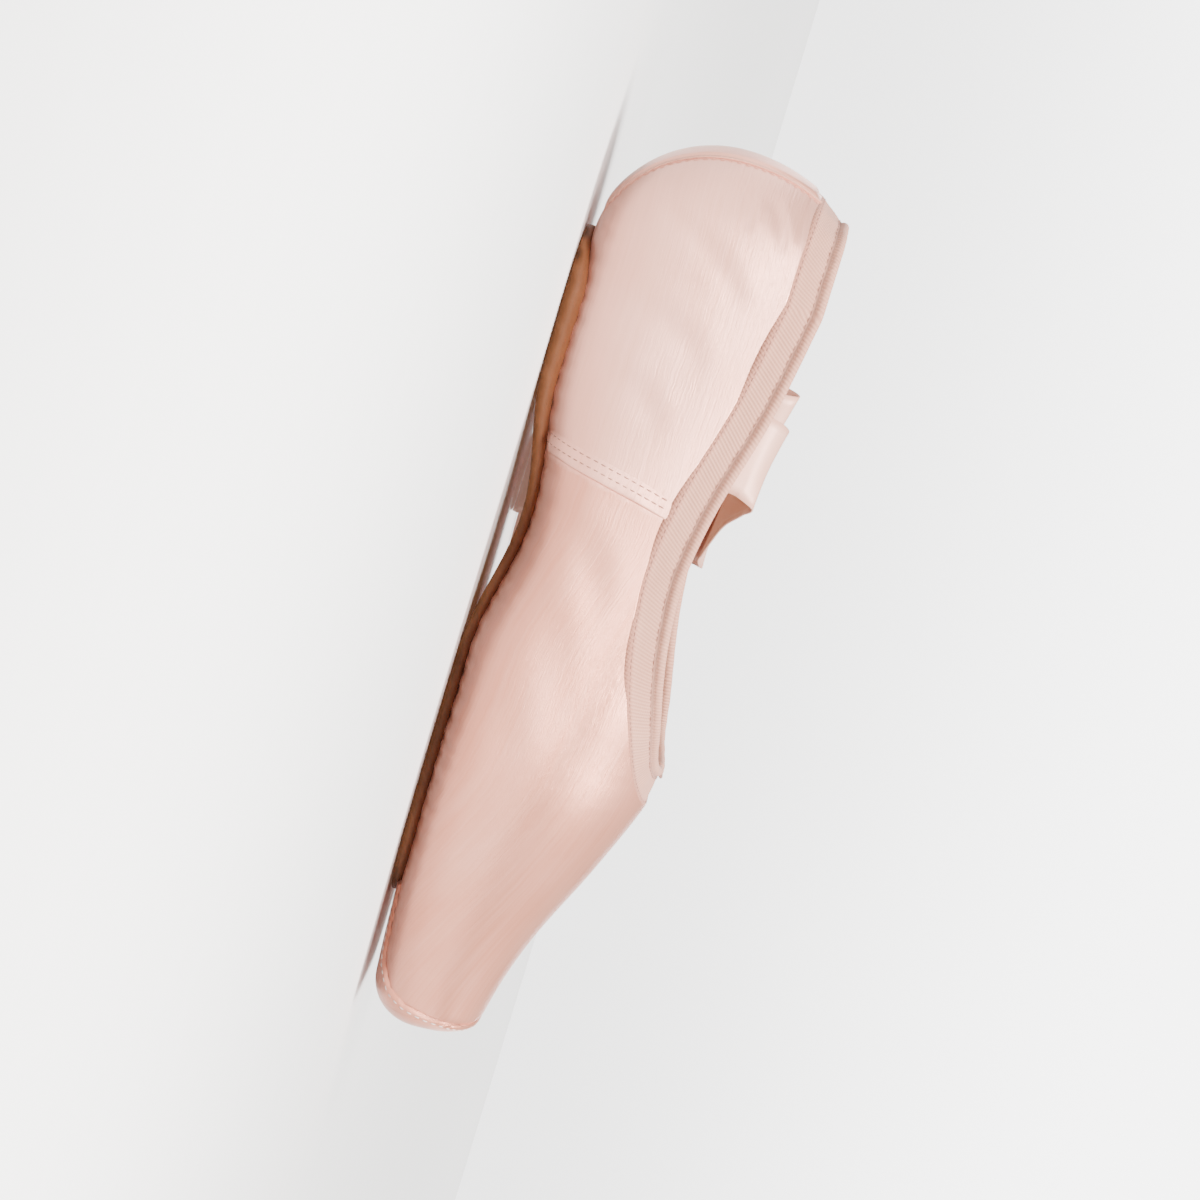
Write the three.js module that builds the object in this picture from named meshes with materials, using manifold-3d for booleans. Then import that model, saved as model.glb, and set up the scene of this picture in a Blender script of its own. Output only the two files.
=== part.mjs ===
// Pointe shoe, empty, standing on its leather sole. Millimetres, +Z up, toe along +X.
// The origin is at floor level under the middle of the shoe's length and width.
// The last is straight, so the shoe fits either foot and is the same on both sides of Y = 0.

import * as THREE from 'three';
import { mergeVertices } from 'three/addons/utils/BufferGeometryUtils.js';
import Module from 'manifold-3d';

const wasm = await Module();
wasm.setup();

// Driving dimensions of the last
const LENGTH = 240; // heel back to platform
const BALL_WIDTH = 83; // widest place of the box
const HEEL_WIDTH = 54;
const HEEL_REACH = 32; // heel back to the middle of the heel's round end
const THROAT_HEIGHT = 58; // top of the vamp at the throat
const VAMP_LENGTH = 70; // throat to platform
const HEEL_HEIGHT = 56; // satin edge at the heel back
const SIDE_HEIGHT = 40.5; // satin edge at its lowest, beside the waist
const INSTEP_HEIGHT = 86; // where the side walls would meet over the instep
const HEEL_CROWN = 74; // the same at the heel back, which leans in more
const PLATFORM_WIDTH = 51;
const PLATFORM_HEIGHT = 28.5;
const PLATFORM_LEAN = 0.098; // how much its top leans back for each mm of height
const ARCH_LIFT = 5.5; // of the sole at the waist, over the floor
const TOE_SPRING = 1.8; // of the underside at the platform
const UNDER_EDGE = 9; // radius from the underside into the platform
const OVER_EDGE = 2.5; // radius from the vamp into the platform

// Leather sole
const SOLE_THICKNESS = 2;
const SOLE_HEEL_WIDTH = 35;
const SOLE_WAIST_WIDTH = 29;
const SOLE_BALL_WIDTH = 47;
const SOLE_HEEL_INSET = HEEL_REACH - 3; // from the heel back to the leather's heel end
const SOLE_TOE_INSET = 29; // from the platform to the leather's front end
const SOLE_HEEL_ROUND = 17; // length of its rounded heel end
const SOLE_TOE_ROUND = 21; // length of its rounded front end
const SOLE_MARGIN = 7; // of the satin that the leather covers

// Walls and overlays
const QUARTER_WALL = 1.4;
const BOX_WALL = 2.6;
const BOX_START = 0.55 * LENGTH; // from the heel back to where the wall starts to thicken
const BOX_FULL = 0.78 * LENGTH; // and to where it is as thick as the box
const INSOLE_THICKNESS = 1.5;
const INSOLE_SHARE = 0.74; // of the last's width
const INSOLE_HEEL_INSET = 18; // from the heel back to the insole's heel end
const INSOLE_TOE_INSET = 20.4; // from the platform to its front end
const INSOLE_ROUND = 19.2; // length of each rounded end
const OVERLAY_THICKNESS = 0.7; // toe panel, back strip and seam tapes
const GAP = 0.3; // between pieces that meet
const SEAM_WIDTH = 6;
const SEAM_FROM_HEEL = 86; // foot of the side seam
const SEAM_SLANT = 8; // how far its top lies toward the toe
const SEAM_RISE = 48; // up to where its slant is drawn
const STRIP_FOOT_WIDTH = 21; // back strip, beside the leather
const STRIP_TOP_WIDTH = 14; // back strip, at the satin edge
const PANEL_HALF_WIDTH = 19; // toe panel under the toe
const PANEL_FROM_PLATFORM = 40;
const PANEL_TURN = 14.4; // from the platform back to where its seam turns up
const CASING_HEIGHT = 8; // knit band of the collar, up to its bead
const CASING_THICKNESS = 0.9;
const CASING_LEAN = 0.14; // how much the band leans in over the foot's opening
const BEAD_RADIUS = 1.4; // round edge with the drawstring inside
const RIBBON_WIDTH = 22;
const RIBBON_THICKNESS = 0.8;

// Fineness of the surfaces
const RING_STEPS = 15;
const OVERLAY_STEPS = 10;
const HEEL_STEPS = 8;
const BEAD_SIDES = 7;
const SMALL_STEP = 1e-3; // for directions along the last
const PAST = 2; // how far a cutting outline passes what it cuts

// Places that follow from the sizes
const SEAT = SOLE_THICKNESS + GAP; // leather under the last
const THROAT = LENGTH - VAMP_LENGTH;
const SOLE_START = SOLE_HEEL_INSET;
const SOLE_END = LENGTH - SOLE_TOE_INSET;
const INSOLE_END = LENGTH - INSOLE_TOE_INSET;
const PLATFORM_FOOT = SEAT + TOE_SPRING; // level of the platform's lower edge

const { clamp, degToRad, lerp, smoothstep } = THREE.MathUtils;

// Sections of the last, as shares of the length from the heel back. Each has its half width,
// the level of its widest place, its crown, and the powers of its lower and upper curves.
const rib = (at, half, belly, crown, low, top) => ({ at, half, belly, crown, low, top });
const SECTIONS = [
  rib(HEEL_REACH / LENGTH, 0.5 * HEEL_WIDTH, 0.6 * HEEL_HEIGHT, INSTEP_HEIGHT, 3, 2),
  rib(0.25, 0.525 * HEEL_WIDTH, 0.53 * HEEL_HEIGHT, 1.02 * INSTEP_HEIGHT, 2.8, 2),
  rib(0.365, 0.38 * BALL_WIDTH, 0.62 * SIDE_HEIGHT, 0.98 * INSTEP_HEIGHT, 2.5, 2),
  rib(0.46, 0.44 * BALL_WIDTH, 0.56 * SIDE_HEIGHT, 0.9 * INSTEP_HEIGHT, 2.6, 2),
  rib(0.56, 0.488 * BALL_WIDTH, 0.37 * THROAT_HEIGHT, 1.19 * THROAT_HEIGHT, 3, 2),
  rib(0.645, 0.5 * BALL_WIDTH, 0.345 * THROAT_HEIGHT, 1.065 * THROAT_HEIGHT, 3.4, 2.05),
  rib(THROAT / LENGTH, 0.494 * BALL_WIDTH, 0.335 * THROAT_HEIGHT, THROAT_HEIGHT, 3.6, 2.1),
  rib(0.79, 0.457 * BALL_WIDTH, 0.315 * THROAT_HEIGHT, 0.865 * THROAT_HEIGHT, 3.5, 2.2),
  rib(0.88, 0.648 * PLATFORM_WIDTH, 0.6 * PLATFORM_HEIGHT, 1.43 * PLATFORM_HEIGHT, 3.1, 2.35),
  rib(0.945, 0.57 * PLATFORM_WIDTH, 0.6 * PLATFORM_HEIGHT, 1.25 * PLATFORM_HEIGHT, 2.8, 2.5),
  rib(1, 0.5 * PLATFORM_WIDTH, PLATFORM_FOOT + 0.5 * PLATFORM_HEIGHT,
    PLATFORM_FOOT + PLATFORM_HEIGHT, 2.6, 2.6),
];

// The satin edge, as shares of the way from the heel's round end to the throat. It falls from
// the heel to the side height, and then climbs to the throat.
const COLLAR = [
  { at: 0, rise: 0.93 },
  { at: 0.2, rise: 0.61 },
  { at: 0.38, rise: 0.19 },
  { at: 0.52, rise: 0 },
  { at: 0.64, rise: 0.05 },
  { at: 0.75, rise: 0.215 },
  { at: 0.86, rise: 0.5 },
  { at: 0.93, rise: 0.715 },
  { at: 1, rise: 1 },
];

// Half width of the leather along the sole, as shares of its length from the heel end
const SOLE_OUTLINE = [
  { at: 0, half: 0.485 * SOLE_HEEL_WIDTH },
  { at: 0.14, half: 0.5 * SOLE_HEEL_WIDTH },
  { at: 0.28, half: 0.465 * SOLE_HEEL_WIDTH },
  { at: 0.42, half: 0.5 * SOLE_WAIST_WIDTH },
  { at: 0.55, half: 0.385 * SOLE_BALL_WIDTH },
  { at: 0.7, half: 0.48 * SOLE_BALL_WIDTH },
  { at: 0.82, half: 0.5 * SOLE_BALL_WIDTH },
  { at: 1, half: 0.47 * SOLE_BALL_WIDTH },
];

// A smooth curve through one column of a table
function along(rows, column, at) {
  const last = rows.length - 1;
  const i = Math.max(0, Math.min(last - 1, rows.findLastIndex((row) => row.at <= at)));
  const slope = (k) => {
    const before = rows[Math.max(0, k - 1)];
    const after = rows[Math.min(last, k + 1)];
    return (after[column] - before[column]) / (after.at - before.at);
  };
  const [from, to] = [rows[i], rows[i + 1]];
  const span = to.at - from.at;
  const t = Math.max(0, Math.min(1, (at - from.at) / span));
  const rise = to[column] - from[column];
  const bend = (slope(i) * span - rise) * (1 - t) - (slope(i + 1) * span - rise) * t;
  return from[column] + t * rise + t * (1 - t) * bend;
}

// Height of the leather's underside over the floor, at a distance from the heel back: flat
// under the heel and the ball, arched at the waist, and sprung at the toe
const HEEL_FLAT_END = 0.27 * LENGTH;
const BALL_FLAT_START = 0.59 * LENGTH;
const BALL_FLAT_END = 0.79 * LENGTH;
function lift(distance) {
  const waist = (distance - HEEL_FLAT_END) / (BALL_FLAT_START - HEEL_FLAT_END);
  const arch = waist > 0 && waist < 1 ? ARCH_LIFT * Math.sin(Math.PI * waist) ** 2 : 0;
  const spring = Math.max(0, (distance - BALL_FLAT_END) / (LENGTH - BALL_FLAT_END));
  return arch + TOE_SPRING * spring ** 2;
}

// The last's section at a distance from the heel back
function section(distance) {
  const at = distance / LENGTH;
  const found = { floor: lift(distance) + SEAT };
  for (const column of ['half', 'belly', 'crown', 'low', 'top']) {
    found[column] = along(SECTIONS, column, at);
  }
  return found;
}

// Height of the satin edge. The crown closes the vamp in front of the throat.
function collarHeight(distance) {
  const at = (distance - HEEL_REACH) / (THROAT - HEEL_REACH);
  const rise = along(COLLAR, 'rise', at);
  const lowest = COLLAR.find((row) => row.rise === 0).at;
  return lerp(SIDE_HEIGHT, at < lowest ? HEEL_HEIGHT : THROAT_HEIGHT, rise);
}

// Places on the last: q runs from the heel back (-1) over the end of the heel's round (0) to
// the platform's edge (1 to 2) and its middle (3); v runs from the middle of the underside
// (-1) over the widest level (0) to the crown (1).
const HEEL_BACK = { belly: 0.62 * HEEL_HEIGHT, crown: HEEL_CROWN, low: 2, top: 2 };

function platformEdge(v) {
  const least = BOX_WALL + GAP; // the stiff box can't bend tighter than its wall
  return Math.max(least, lerp(UNDER_EDGE, OVER_EDGE, smoothstep(v, -1, 1)));
}

function distanceAt(q, v) {
  const round = platformEdge(v);
  if (q <= 1) return lerp(HEEL_REACH, LENGTH - round, Math.max(q, 0));
  return LENGTH - round * (1 - Math.sin((Math.min(q, 2) - 1) * Math.PI / 2));
}

function shapeAt(q, v) {
  const shape = section(distanceAt(q, v));
  if (q < 0) {
    const side = Math.sin((q + 1) * Math.PI / 2) ** 2;
    for (const key of Object.keys(HEEL_BACK)) shape[key] = lerp(HEEL_BACK[key], shape[key], side);
  }
  const turned = (clamp(q, 1, 2) - 1) * Math.PI / 2;
  shape.inset = platformEdge(v) * (1 - Math.cos(turned));
  shape.shrink = 1 - Math.max(0, q - 2);
  return shape;
}

function lastPoint(q, v) {
  const shape = shapeAt(q, v);
  const turn = v * Math.PI / 2;
  const power = 2 / (v < 0 ? shape.low : shape.top);
  const out = Math.abs(v) === 1 ? 0 : Math.cos(turn) ** power;
  const up = Math.abs(Math.sin(turn)) ** power;
  const height = (v < 0 ? shape.belly - shape.floor : shape.crown - shape.belly) - shape.inset;
  const z = shape.belly + Math.sign(v) * height * up * shape.shrink;
  const reach = out * shape.shrink * (shape.half - shape.inset);
  if (q < 0) {
    const angle = (q + 1) * Math.PI / 2;
    const back = HEEL_REACH * (1 - Math.cos(angle) * out);
    return new THREE.Vector3(back - LENGTH / 2, angle === 0 ? 0 : reach * Math.sin(angle), z);
  }
  const distance = distanceAt(q, v);
  const lean = PLATFORM_LEAN * smoothstep(distance, LENGTH - PLATFORM_WIDTH, LENGTH);
  return new THREE.Vector3(distance - LENGTH / 2 - lean * (z - SEAT - UNDER_EDGE), reach, z);
}

// Outward direction on the last
function lastNormal(q, v) {
  if (q > 2) return new THREE.Vector3(1, 0, PLATFORM_LEAN).normalize();
  const step = SMALL_STEP;
  const ahead = lastPoint(Math.min(q + step, 2), v).sub(lastPoint(Math.max(q - step, -1), v));
  const over = lastPoint(q, Math.min(v + step, 1)).sub(lastPoint(q, Math.max(v - step, -1)));
  const normal = over.cross(ahead);
  if (normal.length() < SMALL_STEP ** 3) return new THREE.Vector3(0, 0, -1);
  if (lastPoint(q, v).y === 0) normal.y = 0;
  return normal.normalize();
}

function offsetPoint(q, v, offset) {
  return lastPoint(q, v).addScaledVector(lastNormal(q, v), offset);
}

// The v of the satin edge
function collarLimit(q) {
  const distance = distanceAt(q, 1);
  if (distance >= THROAT) return 1;
  const shape = shapeAt(q, 1);
  const heelShare = q < 0 ? Math.cos((q + 1) * Math.PI / 2) ** 2 : 0;
  const height = lerp(collarHeight(distance), HEEL_HEIGHT, heelShare);
  const share = (height - shape.belly) / (shape.crown - shape.belly);
  return Math.asin(Math.min(1, share ** (shape.top / 2))) / (Math.PI / 2);
}

const qAt = (distance) => (distance - HEEL_REACH) / (LENGTH - platformEdge(1) - HEEL_REACH);

function wallAt(q) {
  return lerp(QUARTER_WALL, BOX_WALL, smoothstep(distanceAt(q, 0), BOX_START, BOX_FULL));
}

// Solids from grids and rings of points
function solidFrom(positions, indices) {
  const geometry = new THREE.BufferGeometry();
  geometry.setAttribute('position', new THREE.Float32BufferAttribute(positions, 3));
  geometry.setIndex(indices);
  const merged = mergeVertices(geometry, 1e-4);
  const index = merged.index.array;
  const kept = [];
  for (let i = 0; i < index.length; i += 3) {
    const [a, b, c] = [index[i], index[i + 1], index[i + 2]];
    if (a !== b && b !== c && c !== a) kept.push(a, b, c);
  }
  return new wasm.Manifold(new wasm.Mesh({
    numProp: 3,
    vertProperties: Float32Array.from(merged.attributes.position.array),
    triVerts: Uint32Array.from(kept),
  }));
}

function geometryFrom(solid) {
  const mesh = solid.getMesh();
  const geometry = new THREE.BufferGeometry();
  geometry.setAttribute('position', new THREE.BufferAttribute(Float32Array.from(mesh.vertProperties), 3));
  geometry.setIndex(new THREE.BufferAttribute(Uint32Array.from(mesh.triVerts), 1));
  geometry.computeVertexNormals();
  return geometry;
}

// A layer of the last between two offsets, from the first station to the last. limit(q) is
// where it stops on its way over the last; one that starts or ends along the shoe is closed there.
function layer(stations, limit, inner, outer, steps = RING_STEPS) {
  const positions = [];
  const indices = [];
  const add = (point, side) => positions.push(point.x, side * point.y, point.z) / 3 - 1;
  const quad = (side, a, b, c, d) => {
    if (side < 0) indices.push(a, b, c, a, c, d);
    else indices.push(a, c, b, a, d, c);
  };
  for (const side of [1, -1]) {
    const grid = stations.map((q) => {
      const end = limit(q);
      const ring = { closed: end === 1, out: [], in: [] };
      for (let j = 0; j <= steps; j += 1) {
        const v = lerp(-1, end, j / steps);
        ring.out.push(add(offsetPoint(q, v, outer(q)), side));
        ring.in.push(add(offsetPoint(q, v, inner(q)), side));
      }
      return ring;
    });
    grid.slice(1).forEach((ring, i) => {
      const before = grid[i];
      for (let j = 0; j < steps; j += 1) {
        quad(side, before.out[j], ring.out[j], ring.out[j + 1], before.out[j + 1]);
        quad(side, before.in[j], before.in[j + 1], ring.in[j + 1], ring.in[j]);
      }
      if (!(before.closed && ring.closed)) {
        const end = steps;
        quad(side, before.out[end], ring.out[end], ring.in[end], before.in[end]);
      }
    });
    const [first, last] = [grid[0], grid[grid.length - 1]];
    for (let j = 0; j < steps; j += 1) {
      if (stations[0] > -1) quad(side, first.out[j], first.out[j + 1], first.in[j + 1], first.in[j]);
      if (stations.at(-1) < 3) quad(side, last.out[j], last.in[j], last.in[j + 1], last.out[j + 1]);
    }
  }
  return solidFrom(positions, indices);
}

// An outline in plan or from the side, extruded into a solid
function prism(points, depth, place) {
  const geometry = new THREE.ExtrudeGeometry(new THREE.Shape(points), { depth, bevelEnabled: false });
  place(geometry);
  const { position } = geometry.attributes;
  return solidFrom(position.array, Array.from({ length: position.count }, (_, i) => i));
}

const point = (x, y) => new THREE.Vector2(x, y);

// Stations of the whole last: the heel's round, then along the shoe with finer steps at the
// throat, where the satin edge turns quickly, and over the platform's edge
const FINE_LENGTH = 34.3; // of the finer steps behind the throat
const PLATFORM_EDGE = [1, 1.25, 1.5, 1.75, 2];
const steps = (count) => Array.from({ length: count }, (_, i) => i / count);
const heelStations = () => steps(HEEL_STEPS).map((t) => t - 1);
function lastStations() {
  const waist = steps(8).map((t) => lerp(HEEL_REACH, THROAT - FINE_LENGTH, t));
  const behind = steps(7).map((t) => THROAT - FINE_LENGTH * (1 - t) ** 2);
  const vampEnd = LENGTH - platformEdge(1);
  const vamp = [0, 0.14, 0.28, 0.42, 0.56, 0.7, 0.83, 0.93].map((t) => lerp(THROAT, vampEnd, t));
  return [...heelStations(), ...[...waist, ...behind, ...vamp].map(qAt), ...PLATFORM_EDGE, 2.5, 3];
}

// Share of its width that a rounded end has, at a distance from its tip
function roundOff(from, length) {
  if (from <= 0) return 0;
  return from < length ? Math.sqrt(1 - (1 - from / length) ** 2) : 1;
}

// Half width of the leather, less a margin all round
function soleHalf(distance, margin = 0) {
  const share = (distance - SOLE_START) / (SOLE_END - SOLE_START);
  const width = along(SOLE_OUTLINE, 'half', share) - margin;
  const heelEnd = roundOff(distance - SOLE_START - margin, SOLE_HEEL_ROUND);
  return width * heelEnd * roundOff(SOLE_END - margin - distance, SOLE_TOE_ROUND);
}

// Distances from one end of an outline to the other, closer together at its round ends
function outlineStations(start, end, startRound, endRound) {
  const ease = [0, 0.05, 0.19, 0.41, 0.69];
  return [
    ...ease.map((t) => start + t * startRound),
    ...Array.from({ length: 11 }, (_, i) => lerp(start + startRound, end - endRound, i / 10)),
    ...ease.map((t) => end - t * endRound).reverse(),
  ];
}

function soleStations(margin) {
  return outlineStations(SOLE_START + margin, SOLE_END - margin, SOLE_HEEL_ROUND, SOLE_TOE_ROUND);
}

// The leather's outline less a margin, standing up from below the floor
function soleBlock(margin) {
  const side = soleStations(margin).map((d) => point(d - LENGTH / 2, soleHalf(d, margin)));
  const outline = [...side, ...side.slice(1, -1).reverse().map((p) => point(p.x, -p.y))];
  return prism(outline, SIDE_HEIGHT / 2, (g) => g.translate(0, 0, -PAST));
}

// Height of the last's underside at a place in plan
function lastUnderside(distance, y) {
  const shape = section(Math.max(distance, HEEL_REACH));
  let share = Math.abs(y) / shape.half;
  if (distance < HEEL_REACH) {
    const back = (HEEL_REACH - distance) / HEEL_REACH;
    const side = share ** 2 / (share ** 2 + back ** 2);
    shape.belly = lerp(HEEL_BACK.belly, shape.belly, side);
    shape.low = lerp(HEEL_BACK.low, shape.low, side);
    share = Math.hypot(share, back);
  }
  const rest = Math.max(0, 1 - share ** shape.low) ** (1 / shape.low);
  return shape.belly - (shape.belly - shape.floor) * rest;
}

// A plate that follows the last's underside: its rows run across the shoe
const ACROSS = 8;
function plate(distances, half, bottom, top) {
  const positions = [];
  const indices = [];
  const rows = distances.map((d) => Array.from({ length: ACROSS + 1 }, (_, j) => {
    const y = half(d) * (2 * j / ACROSS - 1);
    positions.push(d - LENGTH / 2, y, bottom(d, y), d - LENGTH / 2, y, top(d, y));
    return positions.length / 3 - 2;
  }));
  rows.slice(1).forEach((row, i) => {
    const before = rows[i];
    for (let j = 0; j < ACROSS; j += 1) {
      const [a, b, c, d] = [before[j], row[j], row[j + 1], before[j + 1]];
      indices.push(a, c, b, a, d, c, a + 1, b + 1, c + 1, a + 1, c + 1, d + 1);
    }
    for (const [a, b] of [[before[0], row[0]], [row[ACROSS], before[ACROSS]]]) {
      indices.push(a, b, b + 1, a, b + 1, a + 1);
    }
  });
  return solidFrom(positions, indices);
}

// The upper grown by the gap: what lies on the upper is cut by it
const sheath = layer(lastStations(), collarLimit, (q) => -wallAt(q), () => GAP);

// Parts
function leatherSole() {
  const top = (d, y) => lastUnderside(d, y) + GAP;
  return plate(soleStations(0), (d) => soleHalf(d), lift, top).subtract(sheath);
}

function insole() {
  const half = (d) => {
    const ends = roundOff(d - INSOLE_HEEL_INSET, INSOLE_ROUND) * roundOff(INSOLE_END - d, INSOLE_ROUND);
    return INSOLE_SHARE * section(Math.max(d, HEEL_REACH)).half * ends;
  };
  const under = (d, y) => lastUnderside(d, y) + wallAt(qAt(d));
  const distances = outlineStations(INSOLE_HEEL_INSET, INSOLE_END, INSOLE_ROUND, INSOLE_ROUND);
  const top = (d, y) => under(d, y) + GAP + INSOLE_THICKNESS;
  const slab = plate(distances, half, under, top);
  return slab.subtract(layer(lastStations(), collarLimit, (q) => -wallAt(q) - GAP, () => 0));
}

function upper() {
  const wall = layer(lastStations(), collarLimit, (q) => -wallAt(q), () => 0);
  return wall.subtract(soleBlock(SOLE_MARGIN));
}

// A thin piece on the upper, kept off the leather
function overlay(stations, limit) {
  const outer = () => GAP + OVERLAY_THICKNESS;
  const inner = () => -QUARTER_WALL / 2;
  const skin = layer(stations, limit, inner, outer, OVERLAY_STEPS);
  return skin.subtract(sheath).subtract(soleBlock(-GAP));
}

// Satin over the underside of the toe and the platform. Seen from the side, its seam leaves the
// leather, runs forward low under the toe, and turns up behind the platform's edge: shares of
// that edge's radius behind the platform, and of the platform's height.
const PANEL_RISE = [
  { back: 1, height: 0.15 },
  { back: 0.72, height: 0.32 },
  { back: 0.55, height: 0.56 },
  { back: 0.44, height: 0.8 },
  { back: 0.37, height: 1.2 },
];

function toePanel() {
  const start = LENGTH - PANEL_FROM_PLATFORM;
  const low = [0, 0.25, 0.5, 0.75, 1].map((t) => lerp(start, LENGTH - PANEL_TURN, t));
  const seam = [
    ...low.map((d) => point(d - LENGTH / 2, lastUnderside(d, PANEL_HALF_WIDTH))),
    ...PANEL_RISE.map(({ back, height }) => (
      point(LENGTH / 2 - back * UNDER_EDGE, PLATFORM_FOOT + height * PLATFORM_HEIGHT)
    )),
  ];
  const ahead = LENGTH / 2 + UNDER_EDGE;
  const below = [point(start - LENGTH / 2, 0), point(ahead, 0), point(ahead, seam.at(-1).y)];
  const region = prism([...below, ...seam.reverse()], BALL_WIDTH, (g) => {
    g.rotateX(Math.PI / 2);
    g.translate(0, BALL_WIDTH / 2, 0);
  });
  const underside = [-0.2, 0.2, 0.6, 0.85].map((t) => lerp(qAt(start), 1, t));
  return overlay([...underside, ...PLATFORM_EDGE, 3], () => 1).intersect(region);
}

// The strip and the seam tapes stop a little below the satin edge
const EDGE_LEFT_BARE = 0.02;
const belowEdge = (q) => collarLimit(q) - EDGE_LEFT_BARE;

function backStrip() {
  const outline = [
    point(-STRIP_FOOT_WIDTH / 2, 0),
    point(STRIP_FOOT_WIDTH / 2, 0),
    point(STRIP_TOP_WIDTH / 2, HEEL_HEIGHT + PAST),
    point(-STRIP_TOP_WIDTH / 2, HEEL_HEIGHT + PAST),
  ];
  const strip = prism(outline, HEEL_REACH, (g) => {
    g.rotateX(Math.PI / 2).rotateZ(Math.PI / 2);
    g.translate(-LENGTH / 2 - PAST, 0, 0);
  });
  return overlay([...heelStations(), 0], belowEdge).intersect(strip);
}

// Tape where the heel quarter laps over the vamp. side is 1 on the left and -1 on the right.
// Its edge slants more toward the top: shares of the slant and of the rise.
const SEAM_EDGE = [{ slant: 0, rise: 0 }, { slant: 0.3, rise: 0.45 }, { slant: 1, rise: 1 }];
function sideSeam(side) {
  const foot = SEAM_FROM_HEEL - LENGTH / 2;
  const edge = SEAM_EDGE.map(({ slant, rise }) => point(foot + slant * SEAM_SLANT, rise * SEAM_RISE));
  const outline = [...edge, ...edge.map((p) => point(p.x - SEAM_WIDTH, p.y)).reverse()];
  const slab = prism(outline, BALL_WIDTH, (g) => {
    g.rotateX(Math.PI / 2);
    g.translate(0, side > 0 ? BALL_WIDTH : 0, 0);
  });
  const ahead = [-1.75, -1, -0.5, 0, 0.5, 1, 1.75, 2.5].map((t) => SEAM_FROM_HEEL + t * SEAM_SLANT);
  return overlay(ahead.map(qAt), belowEdge).intersect(slab);
}

// The band along the satin edge, with its bead
function collarFrame(q) {
  const v = collarLimit(q);
  const at = offsetPoint(q, v, -wallAt(q) / 2);
  const normal = lastNormal(q, v);
  const edge = (s) => lastPoint(s, collarLimit(s));
  const heading = q === -1 || v === 1
    ? new THREE.Vector3(0, v === 1 ? -1 : 1, 0)
    : edge(Math.min(q + SMALL_STEP, qAt(THROAT))).sub(edge(q - SMALL_STEP)).normalize();
  const up = heading.clone().cross(normal).normalize();
  up.addScaledVector(normal, -CASING_LEAN).normalize();
  const out = up.clone().cross(heading).normalize();
  return { at, up, out };
}

function bandProfile() {
  const half = CASING_THICKNESS / 2;
  const middle = CASING_HEIGHT + BEAD_RADIUS;
  const start = Math.asin(half / BEAD_RADIUS);
  const profile = [point(GAP, half)];
  for (let i = 0; i <= BEAD_SIDES; i += 1) {
    const angle = lerp(Math.PI - start, start - Math.PI, i / BEAD_SIDES);
    profile.push(point(middle + BEAD_RADIUS * Math.cos(angle), BEAD_RADIUS * Math.sin(angle)));
  }
  profile.push(point(GAP, -half));
  return profile;
}

function collarBand() {
  const stations = lastStations().filter((q) => q <= qAt(THROAT));
  const halfLoop = stations.map(collarFrame);
  const mirror = ({ at, up, out }) => {
    const flip = (p) => new THREE.Vector3(p.x, -p.y, p.z);
    return { at: flip(at), up: flip(up), out: flip(out) };
  };
  const loop = [...halfLoop, ...halfLoop.slice(1, -1).reverse().map(mirror)];
  const profile = bandProfile();
  const positions = loop.flatMap(({ at, up, out }) => profile.flatMap((p) => (
    at.clone().addScaledVector(up, p.x).addScaledVector(out, p.y).toArray()
  )));
  const indices = [];
  const count = profile.length;
  loop.forEach((_, i) => {
    const next = (i + 1) % loop.length;
    for (let j = 0; j < count; j += 1) {
      const k = (j + 1) % count;
      const [a, b, c, d] = [i * count + j, next * count + j, next * count + k, i * count + k];
      indices.push(a, c, b, a, d, c);
    }
  });
  return solidFrom(positions, indices);
}

// Ribbons, sewn inside the collar near the side seams. A row holds the middle of the ribbon and
// where its width points: its turn in plan and its rise, in degrees. On the floor the ribbon
// lies flat where it runs straight and stands on edge where it turns.
const RIBBON_REST = 0.12; // its clearance over the floor
function laid(x, y, turn, rise) {
  const angle = degToRad(rise);
  const z = (RIBBON_WIDTH * Math.sin(angle) + RIBBON_THICKNESS * Math.cos(angle)) / 2 + RIBBON_REST;
  return [x, y, z, turn, rise];
}

const RIBBON_RIGHT = [
  [-50, -26.9, 33, -6, 0],
  [-50, -26.2, 41, -6, 0],
  [-49.8, -25, 48, -6, -4],
  [-49.2, -22.4, 54.5, -5, -8],
  [-48, -20, 60, -5, -8],
  [-45.6, -15.5, 62.6, -8, -8],
  [-42, -9, 60.4, -14, -7],
  [-36.6, 0, 57, -20, -6],
  [-30, 9.5, 54.8, -16, -5],
  [-24, 18.5, 54, -6, -6],
  [-21, 24.6, 54.4, 4, -7],
  [-20, 29.6, 54, 9, -7],
  [-19.4, 34, 51.2, 11, -6],
  [-19, 37, 45, 12, -3],
  [-18.6, 38.8, 36, 12, 0],
  [-18.2, 39.8, 25, 11, 0],
  [-17.7, 41.6, 13, 9, 0],
  [-17, 46.4, 4.4, 7, 0],
  laid(-16, 54.5, 5, 0),
  laid(-14, 67, 2, 6),
  laid(-10.6, 80, -12, 34),
  laid(-3, 92.5, -35, 64),
  laid(9.6, 101.6, -62, 74),
  laid(25.5, 106, -80, 54),
  laid(42, 106.5, -91, 18),
  laid(58, 105, -95, 2),
  laid(76, 103, -95, 5),
  laid(93, 102.6, -84, 32),
  laid(108.4, 106.6, -62, 64),
  laid(119.6, 116.4, -34, 80),
  laid(123.4, 130, 2, 84),
  laid(117.4, 143.4, 42, 80),
  laid(104, 151.6, 70, 60),
  laid(87, 154.4, 86, 24),
  laid(68, 154, 92, 3),
  laid(48, 152.4, 95, 1),
  laid(27, 150, 96, 4),
  laid(6, 148, 95, 6),
  laid(-14, 146, 96, 1),
];

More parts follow.
